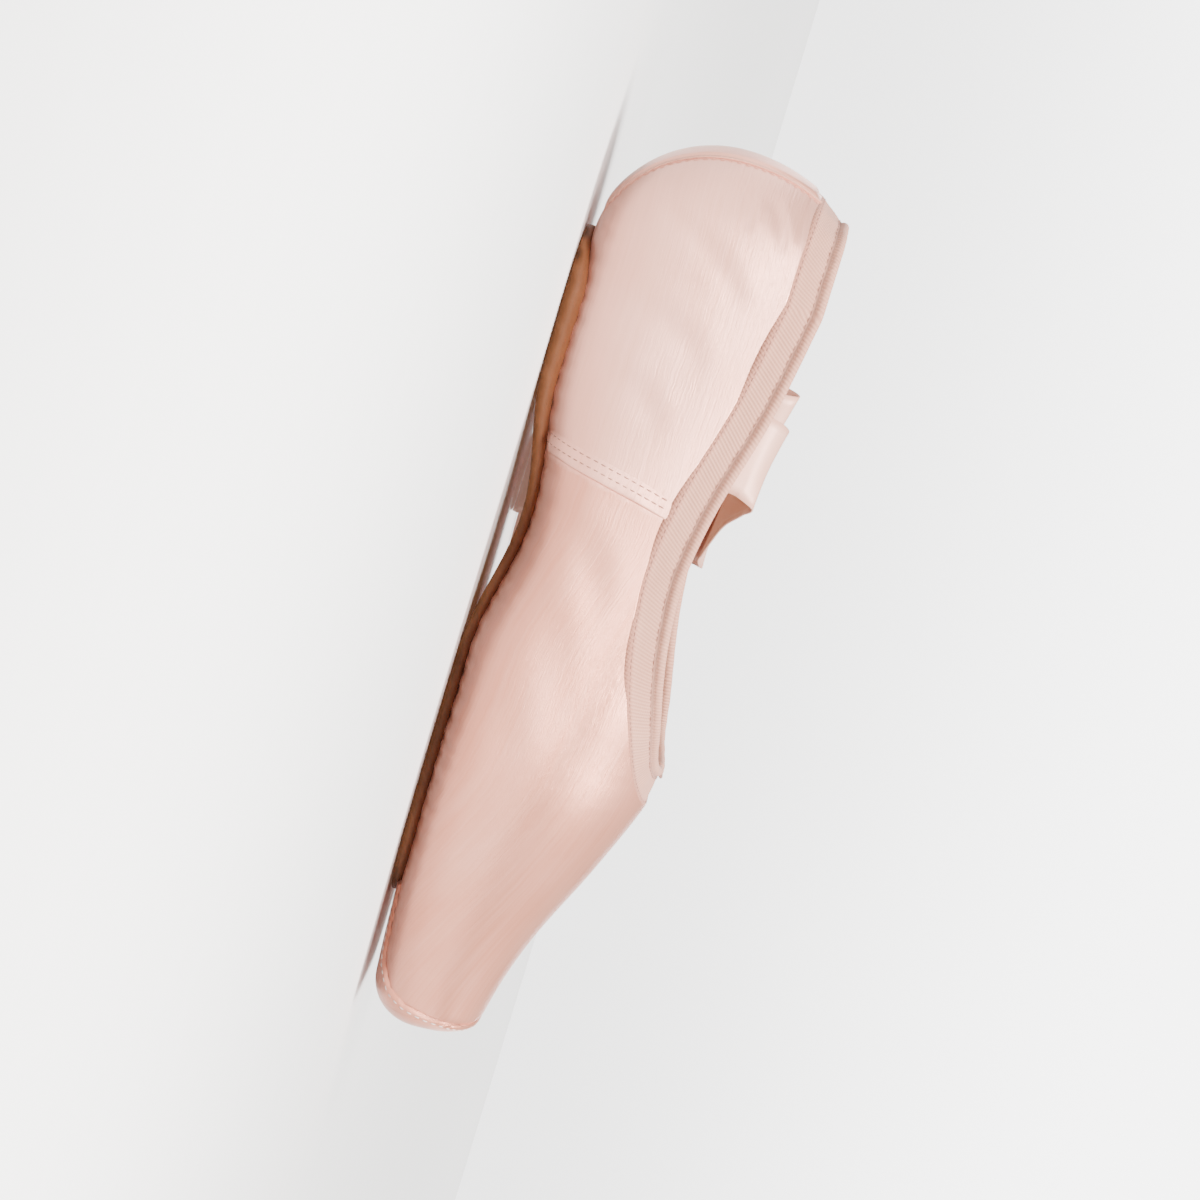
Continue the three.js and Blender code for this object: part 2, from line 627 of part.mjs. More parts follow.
const RIBBON_LEFT = [
  [-50, 26.9, 33, 6, 0],
  [-50, 26.2, 41, 6, 0],
  [-50, 24.9, 48, 6, -6],
  [-50, 22, 54.6, 6, -13],
  [-50.2, 21.4, 59.4, 6, -14],
  [-50.5, 24, 62.6, 6, -14],
  [-50.8, 28, 61, 6, -14],
  [-51, 30.6, 55, 6, -10],
  [-51.1, 31.8, 46, 6, -5],
  [-51.2, 32.2, 34, 5, 0],
  [-51.4, 33, 22, 4, 0],
  [-51.8, 35.4, 11, 3, 0],
  [-52.4, 40.8, 3.6, 3, 0],
  laid(-53.4, 49, 3, 0),
  laid(-56, 64, 12, 10),
  laid(-62, 79, 24, 26),
  laid(-70.6, 94, 26, 42),
  laid(-77.4, 110.6, 12, 62),
  laid(-79, 129, -8, 76),
  laid(-73, 147, -30, 80),
  laid(-60.6, 161.6, -48, 74),
  laid(-45, 172.4, -60, 56),
  laid(-28, 180.6, -62, 30),
  laid(-12, 188.6, -66, 20),
  laid(4, 193.8, -78, 46),
  laid(20, 193, -100, 62),
  laid(35, 186.4, -116, 36),
  laid(50, 177.8, -118, 8),
  laid(65, 171, -104, 34),
  laid(81, 170, -82, 58),
  laid(96, 176, -62, 42),
  laid(109, 185.4, -56, 24),
  laid(122, 193, -66, 30),
  laid(137, 197.4, -80, 32),
  laid(155, 198, -92, 22),
];

const RIBBON_STEPS = 56;
function ribbon(rows) {
  const middles = rows.map(([x, y, z]) => new THREE.Vector3(x, y, z));
  const route = new THREE.CatmullRomCurve3(middles, false, 'centripetal');
  const turns = rows.map(([, , , turn, rise], i) => ({ at: i / (rows.length - 1), turn, rise }));
  const positions = [];
  const indices = [];
  for (let i = 0; i <= RIBBON_STEPS; i += 1) {
    const at = i / RIBBON_STEPS;
    const middle = route.getPoint(at);
    const heading = route.getTangent(at);
    const turn = degToRad(along(turns, 'turn', at));
    const rise = degToRad(along(turns, 'rise', at));
    const flat = Math.cos(rise);
    const across = new THREE.Vector3(Math.cos(turn) * flat, Math.sin(turn) * flat, Math.sin(rise));
    across.addScaledVector(heading, -across.dot(heading)).normalize();
    const face = across.clone().cross(heading).normalize();
    const depth = (Math.abs(across.z) * RIBBON_WIDTH + Math.abs(face.z) * RIBBON_THICKNESS) / 2;
    middle.z = Math.max(middle.z, depth + RIBBON_REST);
    for (const [u, w] of [[1, 1], [-1, 1], [-1, -1], [1, -1]]) {
      const corner = middle.clone().addScaledVector(across, u * RIBBON_WIDTH / 2);
      positions.push(...corner.addScaledVector(face, w * RIBBON_THICKNESS / 2).toArray());
    }
  }
  for (let i = 0; i < RIBBON_STEPS; i += 1) {
    for (let j = 0; j < 4; j += 1) {
      const [a, b, c, d] = [4 * i + j, 4 * i + (j + 1) % 4, 4 * i + 4 + (j + 1) % 4, 4 * i + 4 + j];
      indices.push(a, c, b, a, d, c);
    }
  }
  const end = 4 * RIBBON_STEPS;
  indices.push(0, 1, 2, 0, 2, 3, end, end + 2, end + 1, end, end + 3, end + 2);
  return solidFrom(positions, indices);
}

const FINISHES = {
  satin: { color: 0xe3c5b8, roughness: 0.38 },
  leather: { color: 0xa8703f, roughness: 0.8 },
  lining: { color: 0xe9ddcf, roughness: 0.95 },
  knit: { color: 0xdbc0b5, roughness: 0.9 },
  ribbon: { color: 0xf0d3c8, roughness: 0.5 },
};

const group = new THREE.Group();

function put(name, solid, finish) {
  const material = new THREE.MeshStandardMaterial({ ...FINISHES[finish], metalness: 0 });
  const mesh = new THREE.Mesh(geometryFrom(solid), material);
  mesh.name = name;
  group.add(mesh);
}

put('upper', upper(), 'satin');
put('outsole', leatherSole(), 'leather');
put('insole', insole(), 'lining');
put('toe_panel', toePanel(), 'satin');
put('heel_strip', backStrip(), 'satin');
put('side_seam_left', sideSeam(1), 'satin');
put('side_seam_right', sideSeam(-1), 'satin');
put('collar_band', collarBand(), 'knit');
put('ribbon_left', ribbon(RIBBON_LEFT), 'ribbon');
put('ribbon_right', ribbon(RIBBON_RIGHT), 'ribbon');

export default group;
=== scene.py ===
"""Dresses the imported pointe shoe: satin, leather, knit collar, lining, stitches and ribbons.

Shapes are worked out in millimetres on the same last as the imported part, and are turned into
metres where a mesh is made. The frame is the part's: +X to the toe, +Z up.
"""

import logging
import math
from dataclasses import dataclass
from enum import Enum
from functools import cached_property
from typing import Any, Sequence

import bmesh
import bpy
import numpy as np
from mathutils import Matrix, Vector


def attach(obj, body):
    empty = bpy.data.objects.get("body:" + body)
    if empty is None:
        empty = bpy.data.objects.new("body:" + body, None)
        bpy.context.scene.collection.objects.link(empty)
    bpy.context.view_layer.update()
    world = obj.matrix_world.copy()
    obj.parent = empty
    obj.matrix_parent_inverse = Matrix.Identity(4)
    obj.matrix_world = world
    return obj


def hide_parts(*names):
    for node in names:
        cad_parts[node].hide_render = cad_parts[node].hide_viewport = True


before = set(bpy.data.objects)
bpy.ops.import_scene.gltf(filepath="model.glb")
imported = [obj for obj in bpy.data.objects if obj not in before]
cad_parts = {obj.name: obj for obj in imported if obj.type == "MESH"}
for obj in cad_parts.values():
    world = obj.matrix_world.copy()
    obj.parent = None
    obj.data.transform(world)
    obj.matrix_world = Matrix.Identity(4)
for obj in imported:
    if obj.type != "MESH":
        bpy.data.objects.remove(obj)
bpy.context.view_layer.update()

Array = np.ndarray
Colour = tuple[float, float, float]
Fields = dict[str, Array]
Mesh = tuple[Array, Array, Fields]
log = logging.getLogger("shoe")
MM = 0.001
BODY = "root"
MIRROR = np.array([1, -1, 1, 1, -1, 1])


class Side(Enum):
    """A side of the shoe, as the sign of Y."""

    LEFT = 1
    RIGHT = -1


class Lamp(Enum):
    """A kind of light, as Blender's type for it."""

    SKY = "SUN"
    PANEL = "AREA"


def mix(a: Any, b: Any, share: Any) -> Any:
    """The value at a share of the way from a to b."""
    return a + (b - a) * share


def ease(value: Any, low: float, high: float) -> Array:
    """A smooth step from 0 at low to 1 at high, which may be the lesser."""
    t = np.clip((np.asarray(value, float) - low) / (high - low), 0, 1)
    return t * t * (3 - 2 * t)


def unit(vectors: Array) -> Array:
    """The vectors at length one."""
    return vectors / np.maximum(np.linalg.norm(vectors, axis=-1, keepdims=True), 1e-12)


def through(at_rows: Sequence[float], values: Sequence[float], at: Any) -> Array:
    """A smooth curve through a table's column.

    Args:
        at_rows: where the rows stand.
        values: the column.
        at: where the curve is read.

    Returns:
        The column's values there.
    """
    rows, column, at = np.asarray(at_rows, float), np.asarray(values, float), np.asarray(at, float)
    last = len(rows) - 1
    before, after = np.maximum(np.arange(last + 1) - 1, 0), np.minimum(np.arange(last + 1) + 1, last)
    slope = (column[after] - column[before]) / (rows[after] - rows[before])
    i = np.clip(np.searchsorted(rows, at, side="right") - 1, 0, last - 1)
    span, rise = rows[i + 1] - rows[i], column[i + 1] - column[i]
    t = np.clip((at - rows[i]) / span, 0, 1)
    bend = (slope[i] * span - rise) * (1 - t) - (slope[i + 1] * span - rise) * t
    return column[i] + t * rise + t * (1 - t) * bend


def lengths(path: Array) -> Array:
    """How far along a line of points each point lies, also for each line of a grid."""
    steps = np.linalg.norm(np.diff(path, axis=-2), axis=-1)
    return np.concatenate([np.zeros((*steps.shape[:-1], 1)), np.cumsum(steps, axis=-1)], axis=-1)


def between(at: Array, far: Array, rows: Array) -> Array:
    """Reads rows of numbers at other places.

    Args:
        at: the places.
        far: where the rows stand.
        rows: the rows.

    Returns:
        The numbers at each place, as one more axis.
    """
    return np.stack([np.interp(at, far, rows[:, k]) for k in range(rows.shape[1])], axis=-1)


def respaced(path: Array, count: int) -> Array:
    """The line of points again, at equal steps."""
    far = lengths(path)
    return between(np.linspace(0, far[-1], count), far, path)


def joined(right: Sequence[Array], left: Sequence[Array]) -> tuple[Array, ...]:
    """Grids of two halves as whole ones, from the right half's edge over the middle to the left's."""
    return tuple(np.concatenate([a[:, :0:-1], b], axis=1) for a, b in zip(right, left))


def from_middle(points: Array) -> Array:
    """Signed length across each row of points, from its middle one."""
    far = lengths(points)
    return far - far[:, [far.shape[1] // 2]]


@dataclass(frozen=True)
class Crease:
    """A soft fold on a side wall, drawn in the side view in mm."""

    start: tuple[float, float]
    end: tuple[float, float]
    width: float
    depth: float
    sides: tuple[Side, ...] = (Side.LEFT, Side.RIGHT)
    bend: float = 0.8
    ridge: float = 0.55
    ridge_away: float = 1.7
    whole: float = 0.3
    fading: float = 0.03

    def height(self, x: Array, z: Array) -> Array:
        """How far the satin stands out, less in the trough and more beside it.

        Args:
            x: places along the shoe.
            z: their levels.

        Returns:
            Heights off the plain last.
        """
        a, b = np.array(self.start), np.array(self.end)
        way = b - a
        span = np.linalg.norm(way)
        way = way / span
        along = ((x - a[0]) * way[0] + (z - a[1]) * way[1]) / span
        across = ((z - a[1]) * way[0] - (x - a[0]) * way[1]) / self.width
        bow = across - self.bend * np.sin(np.pi * np.clip(along, 0, 1))
        fade = np.exp(-np.maximum(0, np.abs(along - 0.5) - self.whole) ** 2 / self.fading)
        beside = self.ridge * np.exp(-((bow - self.ridge_away) ** 2))
        return self.depth * fade * (beside - np.exp(-(bow**2)))


@dataclass(frozen=True)
class Last:
    """The last in mm, as in the part's source: a straight one, the same on both sides."""

    length: float = 240
    ball_width: float = 83
    heel_width: float = 54
    heel_reach: float = 32
    throat_height: float = 58
    vamp_length: float = 70
    heel_height: float = 56
    side_height: float = 40.5
    instep_height: float = 86
    heel_crown: float = 74
    platform_width: float = 51
    platform_height: float = 28.5
    platform_lean: float = 0.098
    arch_lift: float = 5.5
    toe_spring: float = 1.8
    under_edge: float = 9
    over_edge: float = 2.5
    quarter_wall: float = 1.4
    box_wall: float = 2.6
    seat: float = 2.3
    gap: float = 0.3
    softening: int = 30
    lift_shares: tuple[float, float, float] = (0.27, 0.59, 0.79)
    wall_shares: tuple[float, float] = (0.55, 0.78)
    heel_belly: float = 0.62
    collar_low_at: float = 0.52
    collar_at: tuple[float, ...] = (0, 0.2, 0.38, 0.52, 0.64, 0.75, 0.86, 0.93, 1)
    collar_rises: tuple[float, ...] = (0.93, 0.61, 0.19, 0, 0.05, 0.215, 0.5, 0.715, 1)
    near_throat: float = 40
    gather_pitch: float = 5.6
    gather_depth: float = 0.16
    gather_height: float = 4.5
    swell_depth: float = 0.1

    @property
    def throat(self) -> float:
        """Distance of the throat from the heel back."""
        return self.length - self.vamp_length

    @property
    def platform_foot(self) -> float:
        """Level of the platform's lower edge."""
        return self.seat + self.toe_spring

    @cached_property
    def fine(self) -> Array:
        """Shares of the length at which the sections are kept."""
        return np.linspace(0, 1, 2401)

    @cached_property
    def ribs(self) -> dict[str, Array]:
        """The sections' columns, read finely and softened a little.

        Returns:
            By name: half the width, level of the widest place, level of the crown, and how full the
            section is below and above.
        """
        ball, heel, throat, side = self.ball_width, self.heel_width, self.throat_height, self.side_height
        tall, wide, foot = self.platform_height, self.platform_width, self.platform_foot
        # Each row: share of the length, then the five columns.
        rows = np.array([
            [self.heel_reach / self.length, 0.5 * heel, 0.6 * self.heel_height, self.instep_height, 3, 2],
            [0.25, 0.525 * heel, 0.53 * self.heel_height, 1.02 * self.instep_height, 2.8, 2],
            [0.365, 0.38 * ball, 0.62 * side, 0.98 * self.instep_height, 2.5, 2],
            [0.46, 0.44 * ball, 0.56 * side, 0.9 * self.instep_height, 2.6, 2],
            [0.56, 0.488 * ball, 0.37 * throat, 1.19 * throat, 3, 2],
            [0.645, 0.5 * ball, 0.345 * throat, 1.065 * throat, 3.4, 2.05],
            [self.throat / self.length, 0.494 * ball, 0.335 * throat, throat, 3.6, 2.1],
            [0.79, 0.457 * ball, 0.315 * throat, 0.865 * throat, 3.5, 2.2],
            [0.88, 0.648 * wide, 0.6 * tall, 1.43 * tall, 3.1, 2.35],
            [0.945, 0.57 * wide, 0.6 * tall, 1.25 * tall, 2.8, 2.5],
            [1, 0.5 * wide, foot + 0.5 * tall, foot + tall, 2.6, 2.6],
        ])
        reach = 3 * self.softening
        kernel = np.exp(-((np.arange(-reach, reach + 1) / self.softening) ** 2) / 2)
        columns = {}
        for name, values in zip(("half", "belly", "crown", "low", "top"), rows.T[1:]):
            column = through(rows[:, 0], values, self.fine)
            before, after = 2 * column[0] - column[reach:0:-1], 2 * column[-1] - column[-2 : -2 - reach : -1]
            padded = np.concatenate([before, column, after])
            columns[name] = np.convolve(padded, kernel / kernel.sum(), "valid")
        return columns

    def rib(self, name: str, distance: Array) -> Array:
        """A column of the sections, by distance from the heel back."""
        return np.interp(distance / self.length, self.fine, self.ribs[name])

    def lift(self, distance: Array) -> Array:
        """The arch of the sole.

        Args:
            distance: places from the heel back.

        Returns:
            Levels of the leather's underside.
        """
        heel_end, ball_start, ball_end = (share * self.length for share in self.lift_shares)
        waist = np.clip((distance - heel_end) / (ball_start - heel_end), 0, 1)
        spring = np.maximum(0, (distance - ball_end) / (self.length - ball_end))
        return self.arch_lift * np.sin(np.pi * waist) ** 2 + self.toe_spring * spring**2

    def platform_edge(self, v: Array) -> Array:
        """Radius of the edge round the platform."""
        return np.maximum(self.box_wall + self.gap, mix(self.under_edge, self.over_edge, ease(v, -1, 1)))

    def q_at(self, distance: Any) -> Any:
        """The station at a distance from the heel back."""
        edge = float(self.platform_edge(np.array(1.0)))
        return (np.asarray(distance, float) - self.heel_reach) / (self.length - edge - self.heel_reach)

    def distance(self, q: Array, v: Array) -> Array:
        """Distance of a place from the heel back, before the heel's round.

        Args:
            q: stations, as in point.
            v: places round the section, as in point.

        Returns:
            Distances in mm.
        """
        edge = self.platform_edge(v)
        turned = (np.clip(q, 1, 2) - 1) * np.pi / 2
        body = mix(self.heel_reach, self.length - edge, np.maximum(q, 0))
        return np.where(q <= 1, body, self.length - edge * (1 - np.sin(turned)))

    def shape(self, q: Array, v: Array) -> dict[str, Array]:
        """The section's numbers at a place, with the heel's round mixed in.

        Args:
            q: stations, as in point.
            v: places round the section, as in point.

        Returns:
            The columns of ribs.
        """
        found = {name: self.rib(name, self.distance(q, v)) for name in self.ribs}
        side = np.where(q < 0, np.sin((np.minimum(q, 0) + 1) * np.pi / 2) ** 2, 1)
        belly = self.heel_belly * self.heel_height
        heel = {"belly": belly, "crown": self.heel_crown, "low": 2, "top": 2}
        found.update({name: mix(value, found[name], side) for name, value in heel.items()})
        return found

    def point(self, q: Array, v: Array) -> Array:
        """Places on the last.

        Args:
            q: -1 at the heel back, 0 at the end of its round, 1 to 2 over the platform's edge and
                3 in the platform's middle.
            v: -1 in the middle of the underside, 0 at the widest level and 1 at the crown.

        Returns:
            Points in mm on the left side.
        """
        q, v = np.broadcast_arrays(np.asarray(q, float), np.asarray(v, float))
        shape, distance, edge = self.shape(q, v), self.distance(q, v), self.platform_edge(v)
        inset = edge * (1 - np.cos((np.clip(q, 1, 2) - 1) * np.pi / 2))
        shrink = 1 - np.maximum(0, q - 2)
        power = 2 / np.where(v < 0, shape["low"], shape["top"])
        out = np.where(np.abs(v) >= 1, 0, np.abs(np.cos(v * np.pi / 2)) ** power)
        up = np.abs(np.sin(v * np.pi / 2)) ** power
        floor = self.lift(distance) + self.seat
        height = np.where(v < 0, shape["belly"] - floor, shape["crown"] - shape["belly"]) - inset
        z = shape["belly"] + np.sign(v) * height * up * shrink
        reach = out * shrink * (shape["half"] - inset)
        angle = (np.minimum(q, 0) + 1) * np.pi / 2
        lean = self.platform_lean * ease(distance, self.length - self.platform_width, self.length)
        round_x = self.heel_reach * (1 - np.cos(angle) * out)
        straight_x = distance - lean * (z - self.seat - self.under_edge)
        x = np.where(q < 0, round_x, straight_x) - self.length / 2
        return np.stack([x, np.where(q < 0, reach * np.sin(angle), reach), z], axis=-1)

    def normal(self, q: Array, v: Array) -> Array:
        """Outward directions on the left side.

        Args:
            q: stations, as in point.
            v: places round the section, as in point.

        Returns:
            Directions of length one.
        """
        q, v = np.broadcast_arrays(np.asarray(q, float), np.asarray(v, float))
        step = 1e-3
        ahead = self.point(np.clip(q + step, -1, 2), v) - self.point(np.clip(q - step, -1, 2), v)
        over = self.point(q, np.clip(v + step, -1, 1)) - self.point(q, np.clip(v - step, -1, 1))
        cross = np.cross(over, ahead)
        cross[..., 1] = np.where(self.point(q, v)[..., 1] == 0, 0, cross[..., 1])
        lost = np.linalg.norm(cross, axis=-1) < 1e-9
        cross[lost] = (0, 0, -1)
        cross[q > 2] = (1, 0, self.platform_lean)
        return unit(cross)

    def collar_limit(self, q: Any) -> Array:
        """The satin edge.

        Args:
            q: stations.

        Returns:
            Its v at each, and 1 where the upper is closed.
        """
        q = np.asarray(q, float)
        distance = self.distance(q, np.ones_like(q))
        at = (distance - self.heel_reach) / (self.throat - self.heel_reach)
        top = np.where(at < self.collar_low_at, self.heel_height, self.throat_height)
        height = mix(self.side_height, top, through(self.collar_at, self.collar_rises, at))
        share = np.where(q < 0, np.cos((np.minimum(q, 0) + 1) * np.pi / 2) ** 2, 0)
        height = mix(height, self.heel_height, share)
        shape = self.shape(q, np.ones_like(q))
        part = np.clip((height - shape["belly"]) / (shape["crown"] - shape["belly"]), 0, 1)
        limit = np.arcsin(np.minimum(1, part ** (shape["top"] / 2))) / (np.pi / 2)
        return np.where(distance >= self.throat, 1.0, limit)

    def wall(self, q: Any) -> Array:
        """The upper's wall.

        Args:
            q: stations.

        Returns:
            Its thickness at each.
        """
        q = np.asarray(q, float)
        middle = self.distance(q, np.zeros_like(q))
        start, end = (share * self.length for share in self.wall_shares)
        return mix(self.quarter_wall, self.box_wall, ease(middle, start, end))

    def underside(self, distance: Any, y: Any) -> Array:
        """The last's underside.

        Args:
            distance: places from the heel back.
            y: places from the shoe's middle.

        Returns:
            Levels in mm.
        """
        distance, y = np.broadcast_arrays(np.asarray(distance, float), np.asarray(y, float))
        ahead = np.maximum(distance, self.heel_reach)
        share = np.abs(y) / self.rib("half", ahead)
        back = np.maximum(0, self.heel_reach - distance) / self.heel_reach
        side = share**2 / np.maximum(share**2 + back**2, 1e-9)
        side = np.where(back > 0, side, 1)
        belly = mix(self.heel_belly * self.heel_height, self.rib("belly", ahead), side)
        low = mix(2, self.rib("low", ahead), side)
        share = np.hypot(share, back)
        rest = np.maximum(0, 1 - share**low) ** (1 / low)
        return belly - (belly - self.lift(ahead) - self.seat) * rest

    def creases(self) -> tuple[Crease, ...]:
        """The main folds of the satin.

        Returns:
            The folds.
        """
        right, left = (Side.RIGHT,), (Side.LEFT,)
        return (
            Crease((-104, 16), (-84, 45), 3.2, 0.42, right),
            Crease((-78, 12), (-66, 40), 4.2, 0.38, right),
            Crease((-60, 11), (-49, 34), 3.6, 0.34, right),
            Crease((-24, 12), (2, 33), 4.6, 0.42, right),
            Crease((-6, 10), (34, 31), 5.5, 0.34, right),
            Crease((22, 8), (58, 22), 6.0, 0.22, right),
            Crease((-101, 22), (-80, 40), 3.6, 0.4, left),
            Crease((-70, 11), (-60, 38), 4.4, 0.36, left),
            Crease((-20, 13), (10, 31), 5.0, 0.42, left),
            Crease((8, 9), (44, 29), 5.6, 0.3, left),
            Crease((-112, 44), (-100, 50), 1.5, 0.3),
            Crease((-113, 36), (-103, 40), 1.4, 0.22),
        )

    def relief(self, points: Array, side: Side) -> Array:
        """How far the satin stands off the plain last, from folds and the gathers by the leather.

        Args:
            points: places on the left side.
            side: the side of the shoe that they are meant for.

        Returns:
            Heights in mm.
        """
        x, z = points[..., 0], points[..., 2]
        wall = ease(np.abs(points[..., 1]), 6, 16)
        height = np.zeros_like(x)
        for crease in self.creases():
            if side in crease.sides:
                height += crease.height(x, z) * wall
        phase = 0.9 * np.sin(x * 0.31 + 1.3 * side.value) + 0.5 * np.sin(x * 0.83 + 0.7)
        rising = np.maximum(0, z - self.lift(x + self.length / 2) - self.seat - 1.5)
        low = np.exp(-((rising / self.gather_height) ** 2)) * (1 - ease(x, 66, 86))
        height += self.gather_depth * low * np.sin(x * 2 * np.pi / self.gather_pitch + phase) * wall
        swell = np.sin(x * 0.16 + z * 0.11 + side.value)
        return height + self.swell_depth * swell * wall * (1 - ease(x, 30, 80))

    def sides(self, q: Array, v: Array, offset: Any) -> list[tuple[Array, Array]]:
        """The right side's skin and the left side's, as in skin."""
        return [self.skin(q, v, side, offset) for side in (Side.RIGHT, Side.LEFT)]

    def skin(self, q: Array, v: Array, side: Side, offset: Any = 0.0) -> tuple[Array, Array]:
        """Places on the satin.

        Args:
            q: stations along the last.
            v: places over the last.
            side: the side of the shoe.
            offset: how far outside the satin.

        Returns:
            Points in mm and their outward directions.
        """
        points, normals = self.point(q, v), self.normal(q, v)
        rise = self.relief(points, side) + offset
        points = points + normals * np.asarray(rise)[..., None]
        flip = np.array([1.0, side.value, 1.0])
        return points * flip, normals * flip

    def half_girth(self, q: Array) -> Array:
        """Length over the last at each station, from the underside's middle to the crown."""
        return lengths(self.point(q[:, None], np.linspace(-1, 1, 160)))[:, -1]

    def even_rows(self, q: Array, start: Array, end: Array, count: int) -> Array:
        """Values of v at equal steps over each station's ring.

        Args:
            q: the stations.
            start: the v where each ring starts.
            end: the v where it ends.
            count: how many values.

        Returns:
            A row of values for each station.
        """
        t = np.linspace(0, 1, 320)
        v = start[:, None] + t * (end - start)[:, None]
        far = lengths(self.point(q[:, None], v))
        rows = np.empty((len(q), count))
        for i, reach in enumerate(far):
            known = reach / reach[-1] if reach[-1] > 1e-6 else t
            rows[i] = np.interp(np.linspace(0, 1, count), known, v[i])
        rows[:, 0], rows[:, -1] = start, end
        return rows

    def edge_loop(self, count: int) -> dict[str, Array]:
        """The satin edge all round, from the heel back over the left side to the throat and home.

        Args:
            count: how many points.

        Returns:
            Points in the wall's middle, outward and forward directions and the length so far.
        """
        heel = np.linspace(-1, 0, 120, endpoint=False)
        waist = np.linspace(0, self.q_at(self.throat - self.near_throat), 240, endpoint=False)
        near = self.q_at(self.throat - self.near_throat * (1 - np.linspace(0, 1, 160)) ** 2)
        q = np.concatenate([heel, waist, near])
        points, normals = self.skin(q, self.collar_limit(q), Side.LEFT, -self.wall(q) / 2)
        points[-1, 1] = 0
        both = np.concatenate([points, normals], axis=1)
        mirror = both[1:-1][::-1] * MIRROR
        loop = np.concatenate([both, mirror, both[:1]])
        loop = loop[np.concatenate([[True], np.diff(lengths(loop[:, :3])) > 1e-6])]
        far = lengths(loop[:, :3])
        at = np.linspace(0, far[-1], count, endpoint=False)
        even = between(at, far, loop)
        soft = (np.roll(even, 1, 0) + 2 * even + np.roll(even, -1, 0)) / 4
        heading = unit(np.roll(soft[:, :3], -1, 0) - np.roll(soft[:, :3], 1, 0))
        return {"at": soft[:, :3], "normal": unit(soft[:, 3:6]), "heading": heading, "far": at}


class Wires:
    """The nodes of one material."""

    def __init__(self, name: str) -> None:
        """Starts an empty material.

        Args:
            name: its name.
        """
        self.material = bpy.data.materials.new(name)
        self.material.use_nodes = True
        self.tree = self.material.node_tree
        self.tree.nodes.clear()

    def node(
        self, kind: str, settings: dict[str, Any] | None = None, inputs: dict[Any, Any] | None = None
    ) -> Any:
        """Adds a node.

        Args:
            kind: the node's type, such as ShaderNodeMath.
            settings: its properties, set first.
            inputs: values or links of its sockets, by name or number.

        Returns:
            The node.
        """
        made = self.tree.nodes.new(kind)
        for key, value in (settings or {}).items():
            setattr(made, key, value)
        for key, value in (inputs or {}).items():
            socket = made.inputs[key]
            value = value.socket if isinstance(value, Field) else value
            if isinstance(value, bpy.types.NodeSocket):
                self.tree.links.new(value, socket)
            else:
                wants_alpha = socket.type == "RGBA" and len(value) == 3
                socket.default_value = (*value, 1) if wants_alpha else value
        return made

    def field(self, name: str) -> "Field":
        """A number that the mesh has at each of its points."""
        made = self.node("ShaderNodeAttribute", {"attribute_name": name})
        return Field(self, made.outputs["Fac"])

    def place(self) -> tuple["Field", "Field", "Field"]:
        """The place in the shoe's frame.

        Returns:
            Its x, y and z in mm.
        """
        where = self.node("ShaderNodeTexCoord").outputs["Object"]
        split = self.node("ShaderNodeSeparateXYZ", inputs={0: where})
        return tuple(Field(self, split.outputs[k]) * 1000 for k in range(3))

    def noise(self, x: Any, y: Any, z: Any, detail: float = 2, rough: float = 0.5) -> "Field":
        """Smooth noise of 0 to 1 over three numbers, about one change for each whole step.

        Args:
            x: the first number, and so on with y and z.
            y: the second.
            z: the third.
            detail: how many finer layers are added.
            rough: how strong they are.

        Returns:
            The noise.
        """
        where = self.node("ShaderNodeCombineXYZ", inputs={0: x, 1: y, 2: z})
        made = self.node(
            "ShaderNodeTexNoise",
            inputs={"Vector": where.outputs[0], "Scale": 1.0, "Detail": detail, "Roughness": rough},
        )
        return Field(self, made.outputs["Fac"])

    def blend(self, low: Any, high: Any, share: Any) -> Any:
        """A colour between two others.

        Args:
            low: the colour or its socket at share 0.
            high: the same at share 1.
            share: the number or Field that decides.

        Returns:
            The colour's socket.
        """
        made = self.node(
            "ShaderNodeMix", {"data_type": "RGBA", "clamp_factor": True}, {0: share, 6: low, 7: high}
        )
        return made.outputs[2]

    def bump(self, height: "Field", depth: float, strength: float) -> Any:
        """A bump.

        Args:
            height: how high the surface is, as a share of the depth.
            depth: the depth in mm.
            strength: how much of it shows.

        Returns:
            The normal's socket.
        """
        made = self.node(
            "ShaderNodeBump", inputs={"Height": height, "Distance": depth * MM, "Strength": strength}
        )
        return made.outputs["Normal"]

    def finish(self, varying: dict[str, Any], even: dict[str, Any]) -> bpy.types.Material:
        """Adds the surface shader.

        Args:
            varying: links and values of sockets that change over the surface.
            even: values of sockets that are the same all over.

        Returns:
            The material.
        """
        surface = self.node("ShaderNodeBsdfPrincipled", inputs={**even, **varying})
        self.node("ShaderNodeOutputMaterial", inputs={"Surface": surface.outputs[0]})
        return self.material


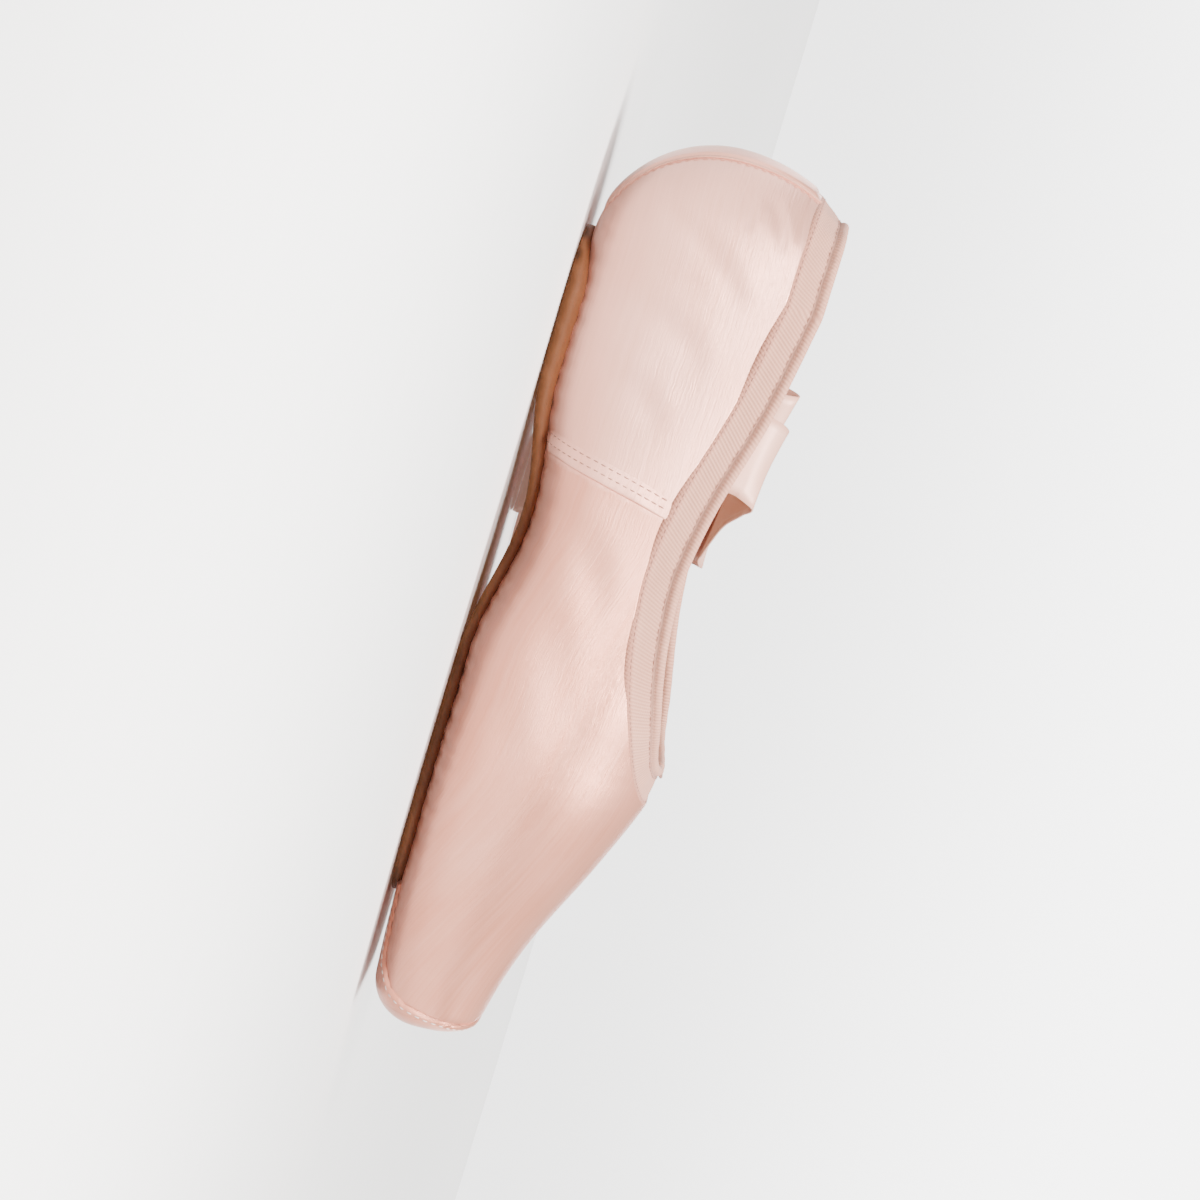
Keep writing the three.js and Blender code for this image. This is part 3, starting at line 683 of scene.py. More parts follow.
class Field:
    """A number that changes over the surface, for use in plain sums."""

    def __init__(self, wires: Wires, socket: bpy.types.NodeSocket) -> None:
        """Wraps a socket."""
        self.wires, self.socket = wires, socket

    def _sum(self, operation: str, *values: Any) -> "Field":
        """The result of a Math node on these values."""
        made = self.wires.node("ShaderNodeMath", {"operation": operation}, dict(enumerate(values)))
        return Field(self.wires, made.outputs[0])

    def __add__(self, other: Any) -> "Field":
        """Plus."""
        return self._sum("ADD", self, other)

    __radd__ = __add__

    def __sub__(self, other: Any) -> "Field":
        """Minus."""
        return self._sum("SUBTRACT", self, other)

    def __mul__(self, other: Any) -> "Field":
        """Times."""
        return self._sum("MULTIPLY", self, other)

    __rmul__ = __mul__

    def __truediv__(self, other: Any) -> "Field":
        """Divided."""
        return self._sum("DIVIDE", self, other)

    def size(self) -> "Field":
        """Without its sign."""
        return self._sum("ABSOLUTE", self)

    def wave(self, pitch: float = 1.0) -> "Field":
        """A wave of -1 to 1 that repeats at each pitch."""
        return self._sum("SINE", self * (2 * math.pi / pitch))

    def ribs(self, pitch: float = 1.0) -> "Field":
        """The same wave of 0 to 1."""
        return (self.wave(pitch) + 1) * 0.5

    def saw(self) -> "Field":
        """Distance from the nearest whole number, up to a half."""
        return self._sum("PINGPONG", self, 0.5)

    def most(self, other: Any) -> "Field":
        """The greater of two."""
        return self._sum("MAXIMUM", self, other)

    def step(self, low: float, high: float) -> "Field":
        """A smooth step.

        Args:
            low: the value where it is 0.
            high: the value where it is 1, which may be the lesser.

        Returns:
            The step.
        """
        first, last, ends = (low, high, (0.0, 1.0)) if low < high else (high, low, (1.0, 0.0))
        inputs = {"Value": self, "From Min": first, "From Max": last, "To Min": ends[0], "To Max": ends[1]}
        made = self.wires.node("ShaderNodeMapRange", {"interpolation_type": "SMOOTHSTEP"}, inputs)
        return Field(self.wires, made.outputs[0])


@dataclass(frozen=True)
class Satin:
    """Woven satin with a soft shine; its streaks run along the shoe."""

    name: str = "shoe_satin"
    light: Colour = (0.94, 0.5, 0.395)
    deep: Colour = (0.68, 0.255, 0.16)
    roughness: float = 0.33
    metallic: float = 0.45
    sheen: float = 0.06

    def material(self) -> bpy.types.Material:
        """Builds the material.

        Returns:
            The material.
        """
        w = Wires(self.name)
        along, girth, tone = w.field("along"), w.field("girth"), w.field("tone")
        side = tone * 3
        streak = w.noise(along * 0.03, girth * 1.1, side, detail=3, rough=0.6)
        cloud = w.noise(along * 0.035, girth * 0.06, side + 4, detail=2)
        thread = w.noise(along * 0.5, girth * 5.2, side, detail=1)
        slub = w.noise(along * 0.1, girth * 2.6, side + 7, detail=2)
        # tone lightens or darkens each piece of satin; on the heel quarter it is a painted highlight
        share = 0.16 + 0.5 * (streak - 0.5) + 0.5 * (cloud - 0.5) + tone
        rough = self.roughness + 0.16 * (streak - 0.5) + 0.05 * (slub - 0.5)
        height = thread * 0.25 + slub * 0.24 + streak * 0.4
        varying = {
            "Base Color": w.blend(self.deep, self.light, share),
            "Roughness": rough,
            "Normal": w.bump(height, depth=0.26, strength=0.6),
        }
        even = {
            "Metallic": self.metallic,
            "Sheen Weight": self.sheen,
            "Sheen Roughness": 0.45,
            "Sheen Tint": (1.0, 0.8388, 0.7605),
            "Specular IOR Level": 0.5,
        }
        return w.finish(varying, even)


@dataclass(frozen=True)
class RibbonSatin:
    """Ribbon: finer and more matte than the shoe's satin, with a woven edge."""

    light: Colour = (0.9, 0.53, 0.41)
    deep: Colour = (0.74, 0.36, 0.26)

    def material(self) -> bpy.types.Material:
        """Builds the material.

        Returns:
            The material.
        """
        w = Wires("ribbon_satin")
        along, across = w.field("along"), w.field("across")
        thread = w.noise(along * 0.25, across * 60, 0.0, detail=1)
        rib = along.ribs(0.9)
        edge = across.size().step(0.86, 0.93)
        cloud = w.noise(along * 0.03, across * 0.9, 3.0, detail=2)
        share = 0.55 + 0.4 * (cloud - 0.5) + 0.35 * (thread - 0.5) - 0.35 * edge
        varying = {
            "Base Color": w.blend(self.deep, self.light, share),
            "Roughness": 0.46 + 0.14 * (thread - 0.5) + 0.2 * edge,
            "Normal": w.bump(thread * 0.5 + rib * (0.12 + 0.5 * edge), depth=0.09, strength=0.5),
        }
        even = {"Metallic": 0.15, "Sheen Weight": 0.1, "Sheen Roughness": 0.4}
        return w.finish(varying, even)


@dataclass(frozen=True)
class Knit:
    """Matte knitted casing with a slanting rib, closer on its round edge."""

    light: Colour = (0.74, 0.38, 0.27)
    deep: Colour = (0.48, 0.2, 0.135)

    def material(self) -> bpy.types.Material:
        """Builds the material.

        Returns:
            The material.
        """
        w = Wires("collar_knit")
        along, up, bead = w.field("along"), w.field("up"), w.field("bead")
        tilt = along + up * (0.55 + 0.35 * bead)
        rib, cross = tilt.ribs(1.05), (along * 0.4 - up).ribs(0.8)
        fuzz = w.noise(along * 2.4, up * 2.4, bead, detail=3, rough=0.7)
        cloud = w.noise(along * 0.06, up * 0.1, 2.0, detail=2)
        # Painted shade: the casing is darker over its lowest 2 mm, just above the satin edge.
        foot = up.step(1.9, 0.2)
        share = 0.5 + 0.45 * (rib - 0.5) + 0.35 * (fuzz - 0.5) + 0.4 * (cloud - 0.5) - 0.6 * foot
        varying = {
            "Base Color": w.blend(self.deep, self.light, share),
            "Roughness": 0.86 + 0.12 * (fuzz - 0.5),
            "Normal": w.bump(rib * 0.7 + cross * 0.2 + fuzz * 0.3, depth=0.22, strength=0.8),
        }
        return w.finish(varying, {"Sheen Weight": 0.15, "Sheen Roughness": 0.5})


@dataclass(frozen=True)
class SoleLeather:
    """Brown split leather: mottled, darker at its rim, with a scored lattice on the forefoot."""

    light: Colour = (0.54, 0.21, 0.075)
    deep: Colour = (0.22, 0.07, 0.02)
    rim: Colour = (0.12, 0.038, 0.012)
    pitch_along: float = 17.5
    pitch_across: float = 23
    pair_gap: float = 1.25
    lattice_start: float = 17

    def lattice(self, x: Field, y: Field, inset: Field) -> Field:
        """The scored lines.

        Args:
            x: the place along the shoe.
            y: the place across it.
            inset: the distance from the leather's edge.

        Returns:
            1 in a line and 0 beside it.
        """
        wave = 0.07 * y.wave(self.pitch_across)
        lines = []
        for sign in (1, -1):
            run = x / self.pitch_along + y * (sign / self.pitch_across) + wave * sign
            away = ((run + 0.5).saw() * (self.pitch_along * 0.8) - self.pair_gap).size()
            lines.append(away.step(0.5, 0.2))
        reach = x.step(self.lattice_start - 1, self.lattice_start) * inset.step(4.6, 5.0)
        return lines[0].most(lines[1]) * reach

    def material(self) -> bpy.types.Material:
        """Builds the material.

        Returns:
            The material.
        """
        w = Wires("sole_leather")
        x, y, z = w.place()
        inset, cut = w.field("inset"), w.field("cut")
        mottle = w.noise(x * 0.07, y * 0.1, z * 0.1, detail=4, rough=0.65)
        grain = w.noise(x * 1.6, y * 1.6, z * 1.6, detail=4, rough=0.7)
        fibre = w.noise(x * 0.35, y * 3.2, z * 3.2, detail=3, rough=0.7)
        score = self.lattice(x, y, inset)
        channel = (inset - 3.0).size().step(0.7, 0.25)
        worn = w.noise(x * 0.02, y * 0.05, 5.0, detail=3)
        share = 0.5 + 1.1 * (mottle - 0.5) + 0.5 * (fibre + grain + worn - 1.5)
        face = w.blend(self.deep, self.light, share)
        marked = w.blend(face, self.rim, (score * 0.75).most(channel * 0.6))
        edge = inset.step(2.2, 0.2).most(cut)
        height = 0.6 + 0.25 * (grain - 0.5) + 0.35 * (fibre - 0.5) - 0.9 * score - 0.7 * channel
        varying = {
            "Base Color": w.blend(marked, self.rim, edge * 0.75),
            "Roughness": 0.78 + 0.14 * (grain - 0.5) - 0.15 * edge,
            "Normal": w.bump(height, depth=0.35, strength=0.8),
        }
        return w.finish(varying, {"Specular IOR Level": 0.3})


@dataclass(frozen=True)
class Cotton:
    """Plain woven cotton of the lining and the insole's cover."""

    name: str
    light: Colour
    deep: Colour
    pitch: float = 0.9

    def material(self) -> bpy.types.Material:
        """Builds the material.

        Returns:
            The material.
        """
        w = Wires(self.name)
        x, y, z = w.place()
        weave = (x.wave(self.pitch) * (y + z).wave(self.pitch) + 1) * 0.5
        fuzz = w.noise(x * 1.5, y * 1.5, z * 1.5, detail=3, rough=0.7)
        cloud = w.noise(x * 0.05, y * 0.05, z * 0.05, detail=3)
        share = 0.5 + 0.7 * (cloud - 0.5) + 0.35 * (fuzz - 0.5) + 0.2 * (weave - 0.5)
        varying = {
            "Base Color": w.blend(self.deep, self.light, share),
            "Roughness": 0.9 + 0.08 * (fuzz - 0.5),
            "Normal": w.bump(weave * 0.5 + fuzz * 0.5, depth=0.12, strength=0.6),
        }
        return w.finish(varying, {"Sheen Weight": 0.2})


@dataclass(frozen=True)
class Thread:
    """Twisted sewing thread."""

    name: str
    colour: Colour
    shade: Colour

    def material(self) -> bpy.types.Material:
        """Builds the material.

        Returns:
            The material.
        """
        w = Wires(self.name)
        along, around = w.field("along"), w.field("around")
        twist = (along * 3.2 + around).ribs()
        varying = {
            "Base Color": w.blend(self.shade, self.colour, 0.25 + 0.75 * twist),
            "Roughness": 0.62 + 0.1 * (twist - 0.5),
            "Normal": w.bump(twist, depth=0.06, strength=0.6),
        }
        return w.finish(varying, {"Sheen Weight": 0.2})


class Workshop:
    """Turns points in mm into dressed pieces that ride on the shoe."""

    def __init__(self) -> None:
        """Makes the finishes."""
        self.satin = Satin().material()
        self.ribbon = RibbonSatin().material()
        self.knit = Knit().material()
        self.leather = SoleLeather().material()
        self.lining = Cotton("shoe_lining", (0.7, 0.5, 0.4), (0.48, 0.32, 0.24)).material()
        self.sock = Cotton("insole_cotton", (0.66, 0.54, 0.42), (0.44, 0.34, 0.25)).material()
        self.pale_thread = Thread("pale_thread", (0.93, 0.74, 0.66), (0.72, 0.5, 0.42)).material()
        self.satin_thread = Thread("satin_thread", (0.82, 0.42, 0.31), (0.5, 0.2, 0.13)).material()
        self.seam_thread = Thread("seam_thread", (0.5, 0.22, 0.16), (0.26, 0.1, 0.07)).material()
        self.sole_thread = Thread("sole_thread", (0.672, 0.392, 0.223), (0.188, 0.072, 0.0296)).material()
        self.cord = Thread("string_cord", (0.42, 0.2, 0.15), (0.22, 0.09, 0.06)).material()

    def piece(
        self,
        name: str,
        points: Array,
        faces: Array,
        finish: bpy.types.Material,
        slot: str,
        stands_for: Sequence[str] = (),
        fields: Fields | None = None,
        outward: Array | None = None,
        weld: bool = False,
    ) -> bpy.types.Object:
        """Makes one object.

        Args:
            name: its name.
            points: points in mm.
            faces: four point numbers a face.
            finish: its material.
            slot: not used.
            stands_for: the CAD nodes it replaces.
            fields: numbers for the material, one a point.
            outward: direction at each point that the faces look to.
            weld: whether points that meet are joined.

        Returns:
            The object.
        """
        points, faces = points.reshape(-1, 3), np.asarray(faces).reshape(-1, 4)
        if outward is not None:
            a, b, c, d = (points[faces[:, k]] for k in range(4))
            facing = np.einsum("ij,ij->i", np.cross(c - a, d - b), outward.reshape(-1, 3)[faces[:, 0]])
            if facing.sum() < 0:
                faces = faces[:, ::-1]
        mesh = bpy.data.meshes.new(name)
        mesh.from_pydata((points * MM).tolist(), [], faces.tolist())
        for key, values in (fields or {}).items():
            attribute = mesh.attributes.new(key, "FLOAT", "POINT")
            attribute.data.foreach_set("value", np.asarray(values, np.float32).ravel())
        if weld:
            work = bmesh.new()
            work.from_mesh(mesh)
            bmesh.ops.remove_doubles(work, verts=work.verts, dist=2e-6)
            bmesh.ops.dissolve_degenerate(work, edges=work.edges, dist=1e-7)
            work.to_mesh(mesh)
            work.free()
        mesh.shade_smooth()
        mesh.materials.append(finish)
        made = bpy.data.objects.new(name, mesh)
        bpy.context.scene.collection.objects.link(made)
        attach(made, BODY)
        if stands_for:
            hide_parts(*stands_for)
        log.info("%s: %d points, %d faces", name, len(mesh.vertices), len(mesh.polygons))
        return made

    def skin(self, name: str, node: str, rows: Sequence[Array], fields: Fields, weld: bool = True) -> None:
        """Makes a piece of the shoe's satin.

        Args:
            name: its name.
            node: the CAD node it replaces.
            rows: a grid of points and the outward directions at them.
            fields: numbers for the material, one a point.
            weld: whether points that meet are joined.
        """
        points, normals = rows
        faces = grid(*points.shape[:2])
        self.piece(name, points, faces, self.satin, "satin", (node,), fields, normals, weld)

    def trim(self, name: str, parts: Sequence[Mesh], finish: bpy.types.Material, slot: str) -> None:
        """Makes one object of several small meshes, which replaces nothing."""
        points, faces, fields = gather(parts)
        self.piece(name, points, faces, finish, slot, (), fields)


def grid(rows: int, columns: int, ring_rows: bool = False, ring_columns: bool = False) -> Array:
    """Faces of a grid of points.

    Args:
        rows: how many rows of points.
        columns: how many points a row.
        ring_rows: whether the last row meets the first.
        ring_columns: whether each row is a ring.

    Returns:
        Four point numbers a face.
    """
    i = np.arange(rows if ring_rows else rows - 1)[:, None]
    j = np.arange(columns if ring_columns else columns - 1)[None]
    below, beside = (i + 1) % rows, (j + 1) % columns
    faces = [i * columns + j, below * columns + j, below * columns + beside, i * columns + beside]
    return np.stack(np.broadcast_arrays(*faces), axis=-1).reshape(-1, 4)


def gather(parts: Sequence[Mesh]) -> Mesh:
    """Several meshes as one.

    Args:
        parts: points, faces and fields of each.

    Returns:
        Points, faces and fields.
    """
    starts = np.cumsum([0] + [len(points) for points, _, _ in parts[:-1]])
    points = np.concatenate([points for points, _, _ in parts])
    faces = np.concatenate([faces + start for (_, faces, _), start in zip(parts, starts)])
    fields = {key: np.concatenate([f[key] for _, _, f in parts]) for key in parts[0][2]}
    return points, faces, fields


@dataclass(frozen=True)
class Stitches:
    """A row of stitches, in mm."""

    pitch: float
    length: float
    radius: float

    def sew(self, path: Array, up: Array) -> Mesh:
        """Lays the stitches along a line.

        Args:
            path: the line's points.
            up: the direction off the cloth at each.

        Returns:
            Points, faces and fields.
        """
        far = lengths(path)
        count = max(1, int(far[-1] // self.pitch))
        starts = (np.arange(count) + 0.5) * far[-1] / count - self.length / 2
        t, sides = np.linspace(0, 1, 7), 6
        at = starts[:, None] + t * self.length
        middle, off = between(at, far, path), unit(between(at, far, up))
        heading = unit(np.gradient(middle, axis=1))
        beside = np.cross(heading, off)
        swell = (2 * t - 1) ** 2
        middle = middle + off * (self.radius * (0.75 - 1.9 * swell**2))[None, :, None]
        thick = (self.radius * np.sqrt(1 - 0.7 * swell))[None, :, None, None]
        angle = np.arange(sides) * 2 * np.pi / sides
        around = np.cos(angle)[:, None] * beside[:, :, None] + np.sin(angle)[:, None] * off[:, :, None]
        points = middle[:, :, None] + thick * around
        one = grid(len(t), sides, ring_columns=True)
        faces = (one[None] + (np.arange(count) * len(t) * sides)[:, None, None]).reshape(-1, 4)
        shape = points.shape[:3]
        fields = {
            "along": np.broadcast_to((t * self.length)[None, :, None], shape).ravel(),
            "around": np.broadcast_to((angle / (2 * np.pi))[None, None], shape).ravel(),
        }
        return points.reshape(-1, 3), faces, fields


def tube(path: Array, up: Array, radius: float, sides: int) -> Mesh:
    """A round cord along a line.

    Args:
        path: the line's points in mm.
        up: a direction across it at each.
        radius: its radius.
        sides: how many sides.

    Returns:
        Points, faces and fields.
    """
    heading = unit(np.gradient(path, axis=0))
    beside = unit(np.cross(heading, up))
    over = np.cross(beside, heading)
    angle = np.arange(sides) * 2 * np.pi / sides
    ring = np.cos(angle)[None, :, None] * beside[:, None] + np.sin(angle)[None, :, None] * over[:, None]
    points = path[:, None] + radius * ring
    fields = {"along": np.repeat(lengths(path), sides), "around": np.tile(angle / (2 * np.pi), len(path))}
    return points.reshape(-1, 3), grid(len(path), sides, ring_columns=True), fields


@dataclass(frozen=True)
class Light:
    """A soft light that looks at the shoe: a far round sky light or a long panel.

    Its place is where it stands, or which way it lies. Its size is in degrees or metres, and its
    power in watts a square metre or watts.
    """

    kind: Lamp
    place: tuple[float, float, float]
    size: float
    power: float
    tint: Colour
    slimness: float = 7

    def hang(self, target: Sequence[float]) -> None:
        """Adds the light.

        Args:
            target: what it looks at.
        """
        data = bpy.data.lights.new(self.kind.name.lower(), self.kind.value)
        data.energy, data.color = self.power, self.tint
        if self.kind is Lamp.SKY:
            data.angle = math.radians(self.size)
        else:
            data.shape, data.size, data.size_y = "RECTANGLE", self.size, self.size / self.slimness
        made = bpy.data.objects.new(data.name, data)
        made.location = Vector(self.place)
        way = Vector(target) - Vector(self.place)
        made.rotation_euler = way.to_track_quat("-Z", "Y").to_euler()
        bpy.context.scene.collection.objects.link(made)


@dataclass
class Studio:
    """The camera at the picture's angle, soft light and a pale floor, in metres and degrees."""

    azimuth: float = -10
    elevation: float = 1.0
    roll: float = 106.9
    distance: float = 1.3
    target: tuple[float, float, float] = (0.002, 0.0, 0.031)
    lens: float = 150
    sensor: float = 36
    lights: tuple[Light, ...] = (
        Light(Lamp.SKY, place=(0.1, -0.42, 1.2), size=28, power=8.5, tint=(1, 0.985, 0.965)),
        Light(Lamp.PANEL, place=(-0.3, -0.9, 0.46), size=1.3, power=24, tint=(1, 0.97, 0.94)),
    )
    room: Colour = (1, 0.995, 0.99)
    room_power: float = 0.4
    under_shoe: float = 0.0002
    floor_half: float = 9.0
    wall_away: float = 4
    wall_height: float = 1.0
    wall_glow: float = 5
    wall_sides: int = 96
    # the wall's glow, with painted shade at its foot
    wall_foot_shade: Colour = (0.43, 0.429, 0.428)
    wall_top: Colour = (1, 1, 1)
    wall_fade: float = 700

    def directions(self) -> tuple[Vector, Vector, Vector]:
        """Which way the camera looks.

        Returns:
            Its right, up and back.
        """
        a, e, r = (math.radians(v) for v in (self.azimuth, self.elevation, self.roll))
        right = Vector((math.cos(a), math.sin(a), 0))
        up = Vector((-math.sin(a) * math.sin(e), math.cos(a) * math.sin(e), math.cos(e)))
        back = right.cross(up)
        turned = right * math.cos(r) + up * math.sin(r)
        return turned, back.cross(turned), back

    def camera(self) -> None:
        """Places the camera."""
        data = bpy.data.cameras.new("picture_camera")
        data.lens, data.sensor_width, data.sensor_fit = self.lens, self.sensor, "HORIZONTAL"
        data.clip_start, data.clip_end = 0.05, 60
        made = bpy.data.objects.new("picture_camera", data)
        right, up, back = self.directions()
        place = Vector(self.target) + back * self.distance
        turn = Matrix((right, up, back)).transposed()
        made.matrix_world = Matrix.Translation(place) @ turn.to_4x4()
        bpy.context.scene.collection.objects.link(made)
        bpy.context.scene.camera = made

    def light(self) -> None:
        """Sets the lights and the pale surroundings."""
        for light in self.lights:
            light.hang(self.target)
        world = bpy.data.worlds.new("pale_room")
        world.use_nodes = True
        shade = world.node_tree.nodes["Background"]
        shade.inputs["Color"].default_value = (*self.room, 1)
        shade.inputs["Strength"].default_value = self.room_power
        bpy.context.scene.world = world

    @staticmethod
    def stand(name: str, points: Array, faces: Array, finish: bpy.types.Material) -> None:
        """Adds a thing of the stage, which throws no light back on the shoe.

        Args:
            name: its name.
            points: points in metres.
            faces: four point numbers a face.
            finish: its material.
        """
        mesh = bpy.data.meshes.new(name)
        mesh.from_pydata(points.tolist(), [], faces.tolist())
        mesh.materials.append(finish)
        made = bpy.data.objects.new(name, mesh)
        made.visible_diffuse = False
        bpy.context.scene.collection.objects.link(made)

    def backdrop(self) -> None:
        """Stands a low wall all round, far off, that glows pale, with painted shade darker towards its foot.
        """
        w = Wires("pale_wall")
        # Painted shade: the glow fades from pale at the top to grey at the foot.
        glare = w.blend(self.wall_foot_shade, self.wall_top, w.place()[2].step(0, self.wall_fade))
        even = {"Base Color": (0.9, 0.9, 0.9), "Emission Strength": self.wall_glow}
        angle = np.arange(self.wall_sides) * 2 * np.pi / self.wall_sides
        ring = np.stack([np.cos(angle), np.sin(angle)], axis=1) * self.wall_away
        levels = np.tile([-self.under_shoe, self.wall_height], self.wall_sides)
        points = np.concatenate([np.repeat(ring, 2, axis=0), levels[:, None]], axis=1)
        faces = grid(self.wall_sides, 2, ring_rows=True)
        self.stand("wall", points, faces, w.finish({"Emission Color": glare}, even))

    def floor(self) -> None:
        """Lays the pale floor."""
        w = Wires("pale_floor")
        x, y, _ = w.place()
        grain = w.noise(x * 0.05, y * 0.05, 0.0, detail=3)
        pale = w.blend((0.9, 0.895, 0.89), (0.93, 0.928, 0.925), grain)
        corners = np.array([(-1, -1, 0), (1, -1, 0), (1, 1, 0), (-1, 1, 0)]) * self.floor_half
        corners[:, 2] = -self.under_shoe
        finish = w.finish({"Base Color": pale, "Roughness": 0.85}, {"Specular IOR Level": 0.2})
        self.stand("floor", corners, np.array([[0, 1, 2, 3]]), finish)


@dataclass
class Ribbons:
    """Two limp ribbons, sewn inside the collar, that lie beside the shoe.

    A row of a route is the middle's x, y and z, the turn of the width in plan and its rise.
    """

    shop: Workshop
    width: float = 22
    thickness: float = 0.8
    rest: float = 0.12
    steps: int = 420
    across: int = 9
    curl: float = 0.18
    curl_pitch: float = 21

    def laid(self, x: float, y: float, turn: float, rise: float) -> tuple[float, ...]:
        """A row on the floor.

        Args:
            x: place of the ribbon's middle.
            y: the same across the shoe.
            turn: degrees that the width is turned in plan.
            rise: degrees that it is raised.

        Returns:
            The row.
        """
        angle = math.radians(rise)
        z = (self.width * math.sin(angle) + self.thickness * math.cos(angle)) / 2 + self.rest
        return (x, y, z, turn, rise)

    def right_rows(self) -> list[tuple[float, ...]]:
        """The right ribbon's route, as in the part's source.

        Returns:
            Its rows.
        """
        return [
            (-50, -26.9, 33, -6, 0), (-50, -26.2, 41, -6, 0), (-49.8, -25, 48, -6, -4),
            (-49.2, -22.4, 54.5, -5, -8), (-48, -20, 60, -5, -8), (-45.6, -15.5, 62.6, -8, -8),
            (-42, -9, 60.4, -14, -7), (-36.6, 0, 57, -20, -6), (-30, 9.5, 54.8, -16, -5),
            (-24, 18.5, 54, -6, -6), (-21, 24.6, 54.4, 4, -7), (-20, 29.6, 54, 9, -7),
            (-19.4, 34, 51.2, 11, -6), (-19, 37, 45, 12, -3), (-18.6, 38.8, 36, 12, 0),
            (-18.2, 39.8, 25, 11, 0), (-17.7, 41.6, 13, 9, 0), (-17, 46.4, 4.4, 7, 0),
            *(self.laid(*row) for row in (
                (-16, 54.5, 5, 0), (-14, 67, 2, 6), (-10.6, 80, -12, 34), (-3, 92.5, -35, 64),
                (9.6, 101.6, -62, 74), (25.5, 106, -80, 54), (42, 106.5, -91, 18), (58, 105, -95, 2),
                (76, 103, -95, 5), (93, 102.6, -84, 32), (108.4, 106.6, -62, 64), (119.6, 116.4, -34, 80),
                (123.4, 130, 2, 84), (117.4, 143.4, 42, 80), (104, 151.6, 70, 60), (87, 154.4, 86, 24),
                (68, 154, 92, 3), (48, 152.4, 95, 1), (27, 150, 96, 4), (6, 148, 95, 6), (-14, 146, 96, 1),
            )),
        ]

    def left_rows(self) -> list[tuple[float, ...]]:
        """The left ribbon's route, as in the part's source.

        Returns:
            Its rows.
        """
        return [
            (-50, 26.9, 33, 6, 0), (-50, 26.2, 41, 6, 0), (-50, 24.9, 48, 6, -6), (-50, 22, 54.6, 6, -13),
            (-50.2, 21.4, 59.4, 6, -14), (-50.5, 24, 62.6, 6, -14), (-50.8, 28, 61, 6, -14),
            (-51, 30.6, 55, 6, -10), (-51.1, 31.8, 46, 6, -5), (-51.2, 32.2, 34, 5, 0),
            (-51.4, 33, 22, 4, 0), (-51.8, 35.4, 11, 3, 0), (-52.4, 40.8, 3.6, 3, 0),
            *(self.laid(*row) for row in (
                (-53.4, 49, 3, 0), (-56, 64, 12, 10), (-62, 79, 24, 26), (-70.6, 94, 26, 42),
                (-77.4, 110.6, 12, 62), (-79, 129, -8, 76), (-73, 147, -30, 80), (-60.6, 161.6, -48, 74),
                (-45, 172.4, -60, 56), (-28, 180.6, -62, 30), (-12, 188.6, -66, 20), (4, 193.8, -78, 46),
                (20, 193, -100, 62), (35, 186.4, -116, 36), (50, 177.8, -118, 8), (65, 171, -104, 34),
                (81, 170, -82, 58), (96, 176, -62, 42), (109, 185.4, -56, 24), (122, 193, -66, 30),
                (137, 197.4, -80, 32), (155, 198, -92, 22),
            )),
        ]

    @staticmethod
    def route(rows: Array, at: Array) -> Array:
        """The smooth curve through points.

        Args:
            rows: the points.
            at: shares of the way, where each step between two points counts the same.

        Returns:
            A point for each share.
        """
        ends = np.concatenate([[2 * rows[0] - rows[1]], rows, [2 * rows[-1] - rows[-2]]])
        place = at * (len(rows) - 1)
        i = np.minimum(place.astype(int), len(rows) - 2)
        w = (place - i)[:, None]
        a, b, c, d = (ends[i + k] for k in range(4))
        first, second, third = (
            np.linalg.norm(far - near, axis=1, keepdims=True) ** 0.5 for near, far in ((a, b), (b, c), (c, d))
        )
        leave = ((b - a) / first - (c - a) / (first + second) + (c - b) / second) * second
        arrive = ((c - b) / second - (d - b) / (second + third) + (d - c) / third) * second
        square, cube = 3 * (c - b) - 2 * leave - arrive, 2 * (b - c) + leave + arrive
        return b + leave * w + square * w**2 + cube * w**3

    def lie(self, rows: list[tuple[float, ...]]) -> tuple[Array, Array, Array]:
        """The ribbon's course, kept off the floor.

        Args:
            rows: its route.

        Returns:
            Points of its middle, the direction of its width and the one off its face.
        """
        table = np.array(rows, float)
        at = np.linspace(0, 1, self.steps + 1)
        middle = self.route(table[:, :3], at)
        heading = unit(np.gradient(middle, axis=0))
        shares = np.linspace(0, 1, len(table))
        turn, rise = (np.radians(through(shares, table[:, k], at)) for k in (3, 4))
        wide = np.stack([np.cos(turn) * np.cos(rise), np.sin(turn) * np.cos(rise), np.sin(rise)], axis=1)
        wide = unit(wide - heading * np.sum(wide * heading, axis=1, keepdims=True))
        face = unit(np.cross(wide, heading))
        depth = (np.abs(wide[:, 2]) * self.width + np.abs(face[:, 2]) * self.thickness) / 2
        middle[:, 2] = np.maximum(middle[:, 2], depth + self.rest)
        return middle, wide, face

    def make(self, name: str, rows: list[tuple[float, ...]]) -> None:
        """Builds one ribbon.

        Args:
            name: the CAD node that it stands for.
            rows: its route.
        """
        middle, wide, face = self.lie(rows)
        far = lengths(middle)
        u = np.linspace(-1, 1, self.across)
        curl = self.curl * np.sin(far / self.curl_pitch)[:, None] * (1 - u**2)[None]
        half = self.thickness * np.where(np.abs(u) > 0.9, 0.34, 0.27)
        flat = middle[:, None] + wide[:, None] * (u * self.width / 2)[None, :, None]
        top = flat + face[:, None] * (curl + half)[..., None]
        low = flat + face[:, None] * (curl - half)[..., None]
        ring = np.concatenate([top, low[:, ::-1]], axis=1)
        count = ring.shape[1]
        faces = grid(len(ring), count, ring_columns=True)
        ends = [
            [start + j, start + j + 1, start + count - 2 - j, start + count - 1 - j]
            for start in (0, (len(ring) - 1) * count)
            for j in range(self.across - 1)
        ]
        side = np.concatenate([u, u[::-1]])
        fields = {"along": np.repeat(far, count), "across": np.tile(side, len(ring))}
        upward = np.repeat(face[:, None], self.across, axis=1)
        made = self.shop.piece(
            name + "_satin", ring, np.concatenate([faces, ends]), self.shop.ribbon, "ribbon", (name,),
            fields, np.concatenate([upward, -upward], axis=1),
        )

